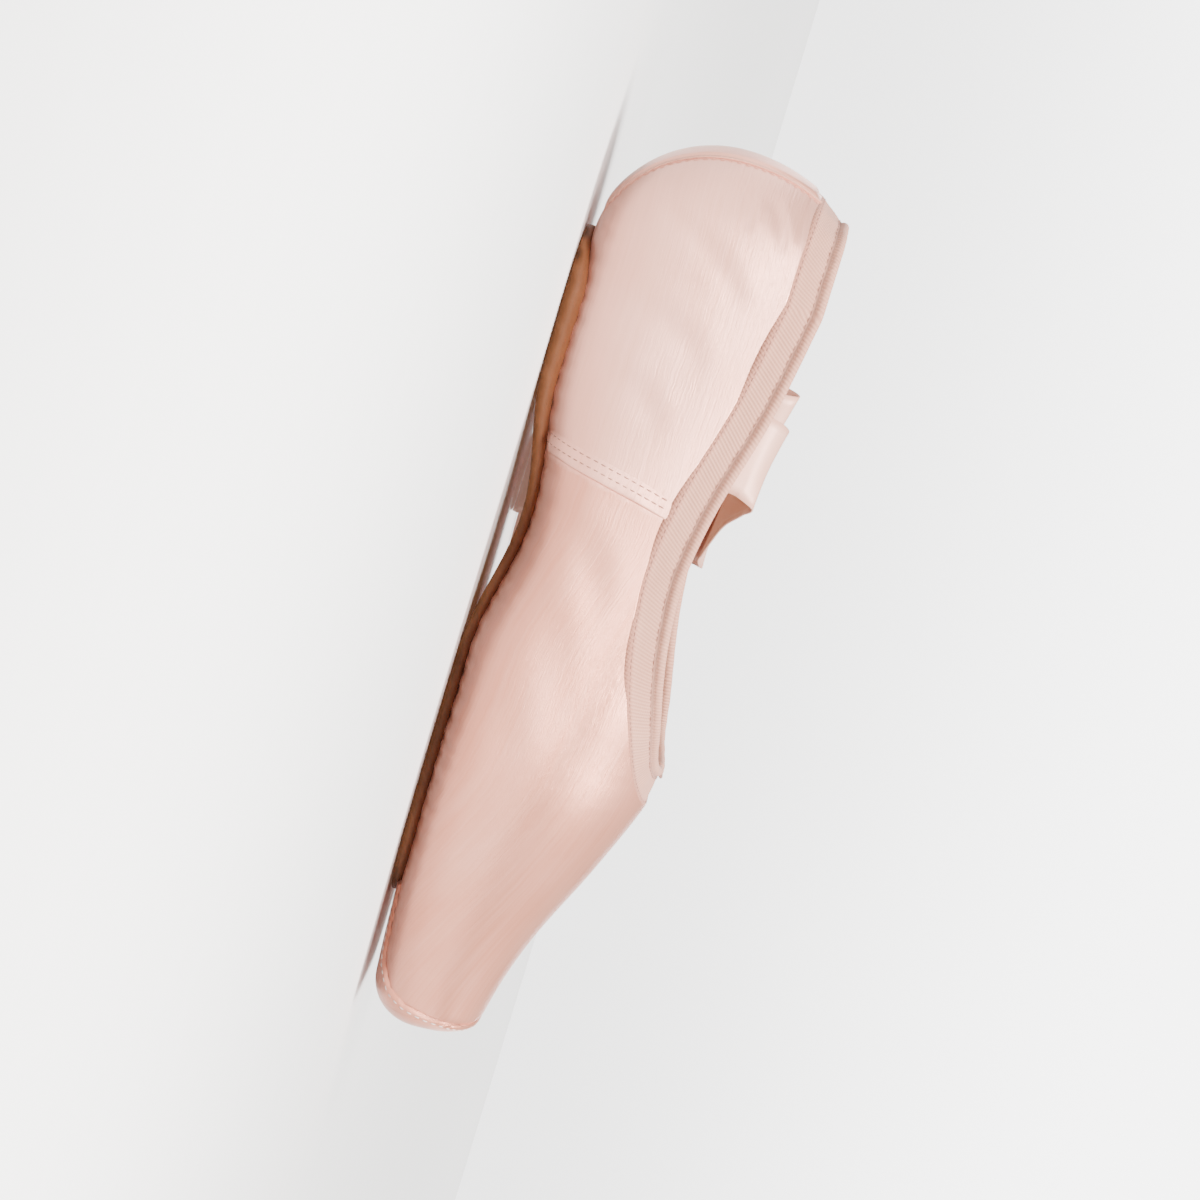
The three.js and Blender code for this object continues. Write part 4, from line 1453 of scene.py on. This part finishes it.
    def build(self) -> None:
        """Builds both ribbons."""
        self.make("ribbon_right", self.right_rows())
        self.make("ribbon_left", self.left_rows())


@dataclass
class Upper:
    """The satin upper and its lining."""

    last: Last
    shop: Workshop
    rows: int = 84
    lining_rows: int = 44
    near_reach: float = 36
    rim_gap: float = 0.004
    streaks_turn: float = 110
    heel_run: float = 45
    seam_foot: float = -34
    seam_slant: float = 8
    seam_rise: float = 48
    # painted highlight on the heel quarter, added to the satin's tone
    quarter_highlight: float = 0.52

    def stations(self, heel: int, waist: int, near: int, vamp: int, edge: int, face: int) -> Array:
        """Stations along the whole last, finer by the throat and over the platform's edge.

        Args:
            heel: how many in the heel's round.
            waist: how many from there to just behind the throat.
            near: how many just behind the throat.
            vamp: how many from the throat to the platform's edge.
            edge: how many over that edge.
            face: how many on the platform.

        Returns:
            The stations.
        """
        last = self.last
        behind = last.throat - self.near_reach * (1 - np.linspace(0, 1, near, endpoint=False)) ** 2
        return np.concatenate([
            np.linspace(-1, 0, heel, endpoint=False),
            np.linspace(0, last.q_at(last.throat - self.near_reach), waist, endpoint=False),
            last.q_at(behind),
            np.linspace(last.q_at(last.throat), 1, vamp, endpoint=False),
            np.linspace(1, 2, edge, endpoint=False),
            np.linspace(2, 3, face),
        ])

    def shell(self, q: Array, rows: int, offset: Any, rim: Sequence[float]) -> Mesh:
        """Both sides of a skin of the upper.

        Args:
            q: its stations.
            rows: points from the underside's middle to the edge.
            offset: how far outside the satin, one a station.
            rim: more offsets at the satin edge, where the skin rolls over.

        Returns:
            Points and outward directions, a row a station, and fields for the satin.
        """
        last = self.last
        end = last.collar_limit(q)
        v = last.even_rows(q, np.full(len(q), -1.0), end - self.rim_gap * (end < 1), rows)
        level = np.broadcast_to(np.asarray(offset, float), len(q))[:, None] + np.zeros((1, rows))
        for extra in (0, *rim):
            v = np.concatenate([v, end[:, None]], axis=1)
            level = np.concatenate([level, (level[:, rows - 1] + extra * (end < 1))[:, None]], axis=1)
        points, normals = joined(*last.sides(q[:, None], v, level))
        from_under = from_middle(points)
        far = last.distance(q, np.ones_like(q))
        throat_girth = float(last.half_girth(np.array([last.q_at(last.throat)]))[0])
        whole = mix(throat_girth, last.half_girth(q), ease(far, self.streaks_turn, last.throat))
        side = np.where(np.arange(points.shape[1]) < points.shape[1] // 2, -1, 1)
        girth = side * (whole[:, None] - np.abs(from_under))
        along = np.where(q < 0, last.heel_reach + self.heel_run * q, far)
        fields = {"along": np.repeat(along, points.shape[1]), "girth": girth.ravel()}
        return points, normals, fields

    def tone(self, points: Array) -> Array:
        """Painted highlight: lighter on the heel quarter, the piece of satin that starts at the side seam,
        and plain before it.

        Args:
            points: places on the satin.

        Returns:
            A tone for each.
        """
        x, z = points[..., 0].ravel(), points[..., 2].ravel()
        seam = self.seam_foot + self.seam_slant * (z / self.seam_rise) ** 1.6
        return self.quarter_highlight * (1 - ease(x, seam - 0.4, seam + 0.4))

    def build(self) -> None:
        """Builds the satin and the lining."""
        q = self.stations(heel=44, waist=84, near=48, vamp=76, edge=12, face=5)
        points, normals, fields = self.shell(q, self.rows, offset=0.0, rim=(-0.12, -0.4))
        # the tone field carries the heel quarter's painted highlight
        fields["tone"] = self.tone(points)
        self.shop.skin("upper_satin", "upper", (points, normals), fields)
        q = self.stations(heel=22, waist=40, near=24, vamp=36, edge=6, face=3)
        inside = -self.last.wall(q)
        points, normals, fields = self.shell(q, self.lining_rows, offset=inside, rim=(0.15, 0.4))
        faces = grid(*points.shape[:2])
        self.shop.piece(
            "upper_lining", points, faces, self.shop.lining, "lining", (), fields, -normals, weld=True
        )


@dataclass
class ToePanel:
    """Satin over the toe's underside and the platform, with its seam and stitches."""

    last: Last
    shop: Workshop
    half_width: float = 19
    from_platform: float = 40
    turn: float = 14.4
    thickness: float = 1.0
    sunk: float = 0.12
    edge_round: float = 1.1
    fade_in: tuple[float, float] = (84.5, 86.5)
    tone: float = -0.12
    rows: int = 76
    stitches: Stitches = Stitches(pitch=2.3, length=1.7, radius=0.2)
    sewn_deep: float = 0.1
    stitches_in: float = 1.4
    stitches_from: float = 88

    def seam_height(self, x: Array) -> Array:
        """The seam in the side view.

        Args:
            x: places along the shoe.

        Returns:
            Its level at each.
        """
        last = self.last
        distance = x + last.length / 2
        low = last.underside(np.minimum(distance, last.length - self.turn), self.half_width)
        back = np.array([self.turn, 9, 6.5, 5, 4, 3.3])
        start = float(last.underside(last.length - self.turn, self.half_width))
        foot, tall = last.platform_foot, last.platform_height
        levels = np.array([start, *(foot + share * tall for share in (0.15, 0.32, 0.56, 0.8, 1.2))])
        up = np.interp(distance, last.length - back, levels, right=99)
        return np.where(distance < last.length - self.turn, low, up)

    def border(self, q: Array) -> Array:
        """The seam by stations.

        Args:
            q: the stations.

        Returns:
            Its v at each, and 1 where the whole ring is panel.
        """
        v = np.linspace(-1, 1, 900)
        points = self.last.point(q[:, None], v[None])
        above = points[..., 2] - self.seam_height(points[..., 0])
        found = np.ones(len(q))
        for i, row in enumerate(above):
            over = np.nonzero(row > 0)[0]
            if len(over) and over[0] > 0:
                k = over[0]
                found[i] = mix(v[k - 1], v[k], -row[k - 1] / (row[k] - row[k - 1]))
        return found

    def closing(self) -> float:
        """Where the seam ends.

        Returns:
            The station at which it reaches the crown's middle.
        """
        low, high = float(self.last.q_at(self.last.length - self.turn)), 1.95
        for _ in range(24):
            middle = (low + high) / 2
            if self.border(np.array([middle]))[0] < 1:
                low = middle
            else:
                high = middle
        return high

    def stations(self, turn_q: float, top_q: float) -> Array:
        """The panel's stations, dense where the seam closes.

        Args:
            turn_q: where the seam turns up.
            top_q: where it reaches the crown's middle.

        Returns:
            The stations.
        """
        start = self.last.q_at(self.last.length - self.from_platform + 3)
        near = 0.3 * (top_q - turn_q)
        return np.concatenate([
            np.linspace(start, turn_q, 50, endpoint=False),
            np.linspace(turn_q, top_q - near, 80, endpoint=False),
            top_q - near * (1 - np.linspace(0, 1, 60, endpoint=False)) ** 2,
            np.linspace(top_q, 2, 24, endpoint=False),
            np.linspace(2, 3, 8),
        ])

    def build(self) -> None:
        """Builds the panel, its seam's groove and its stitches."""
        last = self.last
        top_q = self.closing()
        q = self.stations(last.q_at(last.length - self.turn), top_q)
        end = self.border(q)
        v = last.even_rows(q, np.full(len(q), -1.0), end, self.rows)
        plain, outward = last.skin(q[:, None], v, Side.LEFT)
        first_whole = int(np.argmax(end >= 1))
        seam = respaced(np.concatenate([plain, outward], axis=2)[: first_whole + 1, -1], 200)
        away = np.full(plain.shape[:2], 9.0)
        for place in seam:
            away = np.minimum(away, np.linalg.norm(plain - place[:3], axis=2))
        level = self.thickness * ease(away, 0, self.edge_round) ** 0.5 - self.sunk
        level = mix(-0.2, level, ease(plain[..., 0], *self.fade_in))
        sides = last.sides(q[:, None], v, level)
        points, normals = joined(*sides)
        on_face = ease(q, 1, top_q)[:, None]
        girth = mix(from_middle(points), points[..., 1], on_face)
        along = mix(last.distance(q, np.zeros_like(q))[:, None], last.length + points[..., 2], on_face)
        fields = {"along": along.ravel(), "girth": girth.ravel(), "tone": np.full(along.size, self.tone)}
        self.shop.skin("toe_panel_satin", "toe_panel", (points, normals), fields)
        self.sew(seam, np.concatenate(sides[1], axis=2).reshape(-1, 6))

    def sew(self, seam: Array, surface: Array) -> None:
        """Adds one row of stitches just inside the seam, over the crown from side to side.

        Args:
            seam: points and outward directions along the left half of the seam.
            surface: the same all over the panel's left half.
        """
        inward = unit(np.cross(np.gradient(seam[:, :3], axis=0), seam[:, 3:]))
        inward = inward * np.sign(inward[len(inward) // 2, 0])
        path = np.empty_like(seam)
        for i, place in enumerate(seam[:, :3] + inward * self.stitches_in):
            gap = np.linalg.norm(surface[:, :3] - place, axis=1)
            nearest = np.argsort(gap)[:6]
            weight = 1 / (gap[nearest] + 0.05) ** 2
            path[i] = weight @ surface[nearest] / weight.sum()
        path = path[path[:, 0] > self.stitches_from]
        path[-1, [1, 4]] = 0
        both = np.concatenate([path, path[-2::-1] * MIRROR])
        for _ in range(6):
            both[1:-1] = (both[:-2] + 2 * both[1:-1] + both[2:]) / 4
        both = respaced(both, 300)
        row = self.stitches.sew(both[:, :3] - self.sewn_deep * both[:, 3:], both[:, 3:])
        self.shop.trim("toe_panel_stitches", [row], self.shop.pale_thread, "satin")


@dataclass
class HeelStrip:
    """The strip up the heel back, with fine piping along both seams."""

    last: Last
    shop: Workshop
    foot_width: float = 21
    top_width: float = 14
    thickness: float = 1.0
    sunk: float = 0.12
    tone: float = 0.32
    piping: float = 0.42
    piping_out: float = 0.32
    stitches: Stitches = Stitches(pitch=2.2, length=1.6, radius=0.15)
    sewn_deep: float = 0.2
    stitches_out: float = 1.3

    def build(self) -> None:
        """Builds the strip, the piping and its stitches."""
        last = self.last
        limit = float(last.collar_limit(np.array([-1.0]))[0])
        v = np.linspace(-0.93, limit - 0.012, 110)
        levels = last.point(-1.0, v)[:, 2]
        half = mix(self.foot_width, self.top_width, levels / last.heel_height) / 2
        stations = np.linspace(-1, 0, 300)
        ring = last.point(stations[None], v[:, None])[..., 1]
        end = np.array([np.interp(h, y, stations) if y[-1] > h else 0.0 for h, y in zip(half, ring)])
        w = np.linspace(0, 1, 15)
        q = -1 + w[None] * (end + 1)[:, None]
        edge = np.minimum((1 - w)[None] * half[:, None], 20)
        ends = (ease(levels, 3.2, 5.2) * ease(limit - v, 0.012, 0.05))[:, None]
        level = (self.thickness * ease(edge, 0, 1.2) ** 0.5) * ends - self.sunk
        sides = last.sides(q, v[:, None], level)
        points, normals = joined(*sides)
        across = np.concatenate([-w[:0:-1], w])
        fields = {
            "along": np.repeat(lengths(last.point(-1.0, v)), points.shape[1]),
            "girth": (half[:, None] * across[None]).ravel(),
            "tone": np.full(points.shape[0] * points.shape[1], self.tone),
        }
        self.shop.skin("heel_strip_satin", "heel_strip", (points, normals), fields)
        self.sew([np.concatenate(side, axis=2)[levels > 5, -1] for side in sides])

    def sew(self, edges: Sequence[Array]) -> None:
        """Adds the piping on both edges and the stitches beside it.

        Args:
            edges: points and outward directions along each edge.
        """
        cords, seams = [], []
        for edge in edges:
            raised = np.concatenate([edge[:, :3] + edge[:, 3:] * self.piping_out, edge[:, 3:]], axis=1)
            line = respaced(raised, 150)
            at, up = line[:, :3], line[:, 3:]
            cords.append(tube(at, up, self.piping, 8))
            beside = np.cross(unit(np.gradient(at, axis=0)), up)
            out = beside * np.sign(beside[:, [1]] * at[:, [1]])
            seams.append(self.stitches.sew(at + out * self.stitches_out - up * self.sewn_deep, up))
        self.shop.trim("heel_piping", cords, self.shop.satin_thread, "satin")
        self.shop.trim("heel_stitches", seams, self.shop.satin_thread, "satin")


@dataclass
class SideSeams:
    """The folded edge where the heel quarter laps over the vamp, with two rows of stitches."""

    last: Last
    shop: Workshop
    from_heel: float = 86
    slant: float = 8
    rise: float = 48
    foot: float = -0.72
    sunk: float = 0.12
    tone: float = 0.46
    stitches: Stitches = Stitches(pitch=2.1, length=1.55, radius=0.15)
    stitch_rows: tuple[tuple[float, float], ...] = ((2.4, 0.82), (4.6, 0.3))

    def edge(self, z: Array) -> Array:
        """The folded edge in the side view.

        Args:
            z: levels.

        Returns:
            Its place along the shoe at each.
        """
        share = np.interp(z / self.rise, (0, 0.25, 0.45, 0.65, 1), (0, 0.148, 0.307, 0.537364, 1))
        return self.from_heel - self.last.length / 2 + self.slant * share

    def place(self, v: Array, back: Array, side: Side, offset: Any) -> tuple[Array, Array, Array]:
        """Places behind the folded edge.

        Args:
            v: places over the last.
            back: how far behind the edge, in mm.
            side: the side of the shoe.
            offset: how far outside the satin.

        Returns:
            Points, outward directions and the stations.
        """
        q = np.full(np.broadcast(v, back).shape, float(self.last.q_at(self.from_heel)))
        for _ in range(4):
            z = self.last.point(q, v)[..., 2]
            q = self.last.q_at(self.edge(z) - back + self.last.length / 2)
        points, normals = self.last.skin(q, v, side, offset)
        return points, normals, q

    def build(self) -> None:
        """Builds both seams."""
        last = self.last
        back = np.array([-0.05, 0.0, 0.12, 0.3, 0.6, 1.0, 1.6, 2.3, 3.2, 4.2, 5.2, 6.0])
        level = np.array([-0.1, 0.35, 0.7, 0.88, 0.97, 1.0, 0.96, 0.86, 0.7, 0.42, 0.12, -0.08])
        q_edge = last.q_at(self.from_heel + 4)
        top = float(last.collar_limit(np.array([q_edge]))[0])
        v = last.even_rows(np.array([q_edge]), np.array([self.foot]), np.array([top - 0.016]), 90)[0]
        v = np.concatenate([v, top - np.array([0.012, 0.009, 0.006, 0.003, 0.0])])
        rising = mix(0.3, 1.0, ease(top - v, 0.0, 0.12))
        ends = (ease(v, self.foot, self.foot + 0.12) * rising * ease(top - v, 0.0, 0.006))[:, None]
        level = (level[None] + self.sunk) * ends - self.sunk
        for side in Side:
            name = "side_seam_" + side.name.lower()
            points, normals, q = self.place(v[:, None], back[None], side, level)
            along = last.distance(q, np.ones_like(q)).ravel()
            girth = np.repeat(lengths(points[:, 0]), len(back))
            fields = {"along": along, "girth": girth, "tone": np.full(len(along), self.tone)}
            self.shop.skin(name + "_fold", name, (points, normals), fields, weld=False)
            rows = []
            for away, height in self.stitch_rows:
                path, up, _ = self.place(v[8:-6], np.full(len(v) - 14, away), side, height)
                both = respaced(np.concatenate([path, up], axis=1), 100)
                rows.append(self.stitches.sew(both[:, :3], both[:, 3:]))
            self.shop.trim(name + "_stitches", rows, self.shop.seam_thread, "satin")


@dataclass
class Collar:
    """The knit casing round the opening, with its bead, seam and drawstring outlet."""

    last: Last
    shop: Workshop
    height: float = 8
    thickness: float = 0.9
    lean: float = 0.14
    bead: float = 1.4
    notch: float = 0.3
    notch_width: float = 0.9
    dip: float = 0.9
    dip_width: float = 1.2
    pucker: float = 0.035
    pucker_pitch: float = 6.3
    wave: float = 0.12
    wave_pitch: float = 9.1
    stitch_rows: tuple[tuple[float, float, Stitches], ...] = (
        (0.75, 0.62, Stitches(pitch=1.7, length=1.5, radius=0.2)),
        (7.3, 0.42, Stitches(pitch=2.0, length=1.5, radius=0.13)),
    )
    string: float = 0.42
    count: int = 760

    def profile(self) -> tuple[Array, Array, Array]:
        """The band's outline across.

        Returns:
            Up, out and how much it is bead.
        """
        half, middle = self.thickness / 2, self.height + self.bead
        start = math.asin(half / self.bead)
        angle = np.linspace(np.pi - start, start - np.pi, 21)
        flat = np.array([-1.2, -0.2, 0.1, 0.4, 0.8, 1.6, 2.6, 3.8, 5.0, 6.2, 7.2])
        full = half * (0.72 + 0.5 * np.sin(np.clip((flat - 0.3) / 7.5, 0, 1) * np.pi))
        foot = 0.5 * np.exp(-((np.maximum(0, flat) / 1.6) ** 2)) * ease(flat, -1.0, 0.1)
        up = np.concatenate([flat, middle + self.bead * np.cos(angle), flat[::-1]])
        out = np.concatenate([full + foot, self.bead * np.sin(angle), -full[::-1]])
        bead = np.concatenate([np.zeros(len(flat)), np.ones(len(angle)), np.zeros(len(flat))])
        return up, out, bead

    def build(self) -> None:
        """Builds the band, its stitches and the drawstring's outlet."""
        loop = self.last.edge_loop(self.count)
        at, normal, heading = loop["at"], loop["normal"], loop["heading"]
        rise = unit(np.cross(heading, normal))
        rise = rise * np.sign(rise[:, [2]])
        rise = unit(rise - normal * self.lean)
        out = np.cross(rise, heading)
        out = out * np.sign(np.sum(out * normal, axis=1, keepdims=True))
        up, side, bead = self.profile()
        far = loop["far"]
        total = far[-1] + far[1]
        from_throat = np.abs(far - total / 2)
        notch = 1 - self.notch * np.exp(-((from_throat / self.notch_width) ** 2))
        puckers = np.sin(far * 2 * np.pi / self.pucker_pitch + 1.2 * np.sin(far / 19))
        pucker = 1 + self.pucker * puckers + 0.02 * np.sin(far / 1.7)
        wave = self.wave * np.sin(far * 2 * np.pi / self.wave_pitch + np.sin(far / 23))
        grow = mix(1.0, (notch * pucker)[:, None], bead[None])
        points = at[:, None] + rise[:, None] * up[None, :, None]
        swing = (side[None] * grow + wave[:, None] * np.sin(np.clip(up / 9, 0, 1) * np.pi)[None])[..., None]
        points = points + out[:, None] * swing
        dip = self.dip * np.exp(-((from_throat / self.dip_width) ** 2))
        points = points - rise[:, None] * (dip[:, None] * ease(up, 5, 9)[None])[..., None]
        faces = grid(len(points), len(up), ring_rows=True, ring_columns=True)
        turn = np.cumsum(np.abs(np.diff(np.hypot(up, side), prepend=0)))
        fields = {
            "along": np.repeat(far, len(up)),
            "up": np.tile(np.where(bead > 0, 8 + turn / 3, up), len(far)),
            "bead": np.tile(bead, len(far)),
        }
        middle = at[:, None] + rise[:, None] * 5
        self.shop.piece(
            "collar_knit", points, faces, self.shop.knit, "knit", ("collar_band",), fields, points - middle
        )
        log.info("collar: %.0f mm round", total)
        self.sew(at, rise, out)
        self.outlet(at, rise, out, heading)

    def sew(self, at: Array, rise: Array, out: Array) -> None:
        """Adds the row of stitches below the bead and the one by the satin edge.

        Args:
            at: points of the satin edge.
            rise: the band's upward direction at each.
            out: its outward direction at each.
        """
        parts = []
        for up, off, style in self.stitch_rows:
            path = np.concatenate([at + rise * up + out * off, out], axis=1)
            closed = np.concatenate([path, path[:1]])
            parts.append(style.sew(closed[:, :3], unit(closed[:, 3:])))
        self.shop.trim("collar_stitches", parts, self.shop.seam_thread, "knit")

    def outlet(self, at: Array, rise: Array, out: Array, heading: Array) -> None:
        """Adds the short arc of drawstring that shows at the throat.

        Args:
            at: points of the satin edge, with the throat's half way.
            rise: the band's upward direction at each.
            out: its outward direction at each.
            heading: the edge's direction at each.
        """
        k = len(at) // 2
        centre = at[k] + rise[k] * (self.height + 0.6) + out[k] * 1.0
        turn = np.linspace(-1.15, 1.15, 25)
        arc = centre + np.outer(np.sin(turn) * 3.2, heading[k]) - np.outer(np.cos(turn) * 1.7 - 0.9, rise[k])
        arc = arc + np.outer(np.cos(turn) * 0.9 - 0.5, out[k])
        string = tube(arc, np.tile(out[k], (len(arc), 1)), self.string, 8)
        self.shop.trim("drawstring_arc", [string], self.shop.cord, "knit")


@dataclass
class Sole:
    """The leather sole and its stitches, and the insole."""

    last: Last
    shop: Workshop
    heel_width: float = 35
    waist_width: float = 29
    ball_width: float = 47
    heel_inset: float = 29
    toe_inset: float = 29
    heel_round: float = 17
    toe_round: float = 21
    channel_in: float = 3
    stitches: Stitches = Stitches(pitch=3.4, length=2.5, radius=0.24)
    insole_share: float = 0.74
    insole_start: float = 18
    insole_inset: float = 20.4
    insole_round: float = 19.2
    insole_thickness: float = 1.5

    def ends(self) -> tuple[float, float]:
        """Distances of the leather's two ends from the heel back."""
        return self.heel_inset, self.last.length - self.toe_inset

    def half(self, distance: Array) -> Array:
        """The leather's outline.

        Args:
            distance: places from the heel back.

        Returns:
            Its half width at each.
        """
        start, end = self.ends()
        at = (distance - start) / (end - start)
        heel, waist, ball = self.heel_width, self.waist_width, self.ball_width
        widths = [0.97 * heel, heel, 0.93 * heel, waist, 0.77 * ball, 0.96 * ball, ball, 0.94 * ball]
        width = through((0, 0.14, 0.28, 0.42, 0.55, 0.7, 0.82, 1), widths, at) / 2
        at_heel = self.rounded(distance - start, self.heel_round)
        return width * at_heel * self.rounded(end - distance, self.toe_round)

    @staticmethod
    def rounded(away: Array, length: float) -> Array:
        """How wide a round end is.

        Args:
            away: distances from its tip.
            length: how long it is.

        Returns:
            Shares of the full width.
        """
        share = np.clip(away / length, 0, 1)
        return np.sqrt(np.maximum(0, 1 - (1 - share) ** 2))

    @staticmethod
    def spaced(start: float, end: float, first: float, last: float, count: int) -> Array:
        """Distances along an outline, closer at its round ends.

        Args:
            start: where it starts.
            end: where it ends.
            first: length of the round at its start.
            last: length of the round at its end.
            count: how many lie between the rounds.

        Returns:
            The distances.
        """
        lead = 1 - np.cos(np.linspace(0, np.pi / 2, 26, endpoint=False))
        body = np.linspace(start + first, end - last, count)
        return np.concatenate([start + first * lead, body, end - last * lead[::-1]])

    def plate(self, distance: Array, half: Array, low: Any, high: Any, columns: int) -> tuple[Array, ...]:
        """A plate with a rounded rim.

        Args:
            distance: rows from the heel back.
            half: half width a row.
            low: level of its underside by distance and y.
            high: level of its top by the same.
            columns: points across.

        Returns:
            Points, faces and outward directions.
        """
        u = np.sin(np.linspace(-np.pi / 2, np.pi / 2, columns))
        y = half[:, None] * u[None]
        far = np.broadcast_to(distance[:, None], y.shape)
        x = far - self.last.length / 2
        under, over = (np.stack([x, y, level(far, y)], axis=-1) for level in (low, high))
        ring = np.concatenate([under, over[:, ::-1]], axis=1)
        outward = (ring - ring.mean(axis=1, keepdims=True)) * (0.2, 1, 6)
        return ring, grid(len(ring), ring.shape[1], ring_columns=True), outward

    def outline(self, margin: float) -> Array:
        """The leather's edge in plan, all round.

        Args:
            margin: how far in from it.

        Returns:
            Distances from the heel back, and y.
        """
        start, end = self.ends()
        distance = self.spaced(start + 1e-3, end - 1e-3, self.heel_round, self.toe_round, 200)
        side = np.stack([distance, self.half(distance)], axis=1)
        loop = respaced(np.concatenate([side, (side * (1, -1))[::-1]]), 900)
        loop[[0, -1], 1] = 0
        heading = unit(np.gradient(loop, axis=0))
        return loop + np.stack([heading[:, 1], -heading[:, 0]], axis=1) * margin

    def build_leather(self) -> None:
        """Builds the leather sole."""
        last = self.last
        distance = self.spaced(*self.ends(), self.heel_round, self.toe_round, 170)
        edge = self.outline(0)

        def away(far: Array, y: Array) -> Array:
            """Distance from the leather's edge.

            Args:
                far: distances from the heel back.
                y: places from the shoe's middle.

            Returns:
                The distances.
            """
            flat = np.stack([far, y], axis=-1).reshape(-1, 2)
            found = np.full(len(flat), 99.0)
            for part in np.array_split(np.arange(len(flat)), 24):
                gap = np.linalg.norm(flat[part][:, None] - edge[None, ::2], axis=2)
                found[part] = gap.min(axis=1)
            return found.reshape(far.shape)

        def low(far: Array, y: Array) -> Array:
            """The underside, rounded at the rim, with the channel of the stitches pressed in.

            Args:
                far: distances from the heel back.
                y: places from the shoe's middle.

            Returns:
                Levels in mm.
            """
            inset = away(far, y)
            rim = 0.55 * (1 - np.clip(inset / 0.9, 0, 1)) ** 2
            ripple = 0.05 * np.sin(far * 0.9) * (1 - ease(inset, 0.3, 2))
            channel = 0.22 * np.exp(-(((inset - self.channel_in) / 0.5) ** 2))
            return last.lift(far) + rim + channel + np.maximum(ripple, 0)

        def high(far: Array, y: Array) -> Array:
            """The top, just under the satin."""
            return last.underside(far, y) - 0.06

        points, faces, outward = self.plate(distance, self.half(distance), low, high, columns=46)
        far = points[..., 0] + last.length / 2
        inset = away(far, points[..., 1])
        top = np.zeros(points.shape[:2])
        top[:, points.shape[1] // 2:] = 1
        fields = {"inset": inset.ravel(), "cut": (top * ease(inset, 1.2, 0.2)).ravel()}
        self.shop.piece(
            "outsole_leather", points, faces, self.shop.leather, "leather", ("outsole",), fields, outward,
            weld=True,
        )
        line = self.outline(self.channel_in)
        path = np.column_stack([line[:, 0] - last.length / 2, line[:, 1], last.lift(line[:, 0]) + 0.1])
        down = np.tile((0.0, 0.0, -1.0), (len(path), 1))
        points, faces, fields = self.stitches.sew(path, down)
        points[:, 2] = np.maximum(points[:, 2], last.lift(points[:, 0] + last.length / 2) + 0.03)
        self.shop.piece("outsole_stitches", points, faces, self.shop.sole_thread, "leather", (), fields)

    def build_insole(self) -> None:
        """Builds the cotton-covered insole."""
        last = self.last
        start, end, tip = self.insole_start, last.length - self.insole_inset, self.insole_round
        distance = self.spaced(start, end, tip, tip, 120)
        ends = self.rounded(distance - start, tip) * self.rounded(end - distance, tip)
        half = self.insole_share * last.rib("half", np.maximum(distance, last.heel_reach)) * ends

        def low(far: Array, y: Array) -> Array:
            """The underside, a little over the wall."""
            return last.underside(far, y) + last.wall(last.q_at(far)) + last.gap

        def high(far: Array, y: Array) -> Array:
            """The top, rolled down to its rim.

            Args:
                far: distances from the heel back.
                y: places from the shoe's middle.

            Returns:
                Levels in mm.
            """
            width = np.interp(far, distance, half)
            rim = np.clip((np.maximum(width, 1e-3) - np.abs(y)) / 2.5, 0, 1)
            return low(far, y) + self.insole_thickness * (0.25 + 0.75 * np.sqrt(rim * (2 - rim)))

        points, faces, outward = self.plate(distance, half, low, high, columns=40)
        self.shop.piece(
            "insole_cotton", points, faces, self.shop.sock, "lining", ("insole",), None, outward, weld=True
        )

    def build(self) -> None:
        """Builds the leather and the insole."""
        self.build_leather()
        self.build_insole()


def main() -> None:
    """Builds the whole scene."""
    logging.basicConfig(level=logging.INFO, format="%(name)s %(message)s")
    studio = Studio()
    studio.camera()
    studio.light()
    studio.floor()
    studio.backdrop()
    shop, last = Workshop(), Last()
    for part in (
        Ribbons(shop),
        Upper(last, shop),
        ToePanel(last, shop),
        HeelStrip(last, shop),
        SideSeams(last, shop),
        Collar(last, shop),
        Sole(last, shop),
    ):
        part.build()
        log.info("%s done", type(part).__name__)


if __name__ == "__main__":
    main()
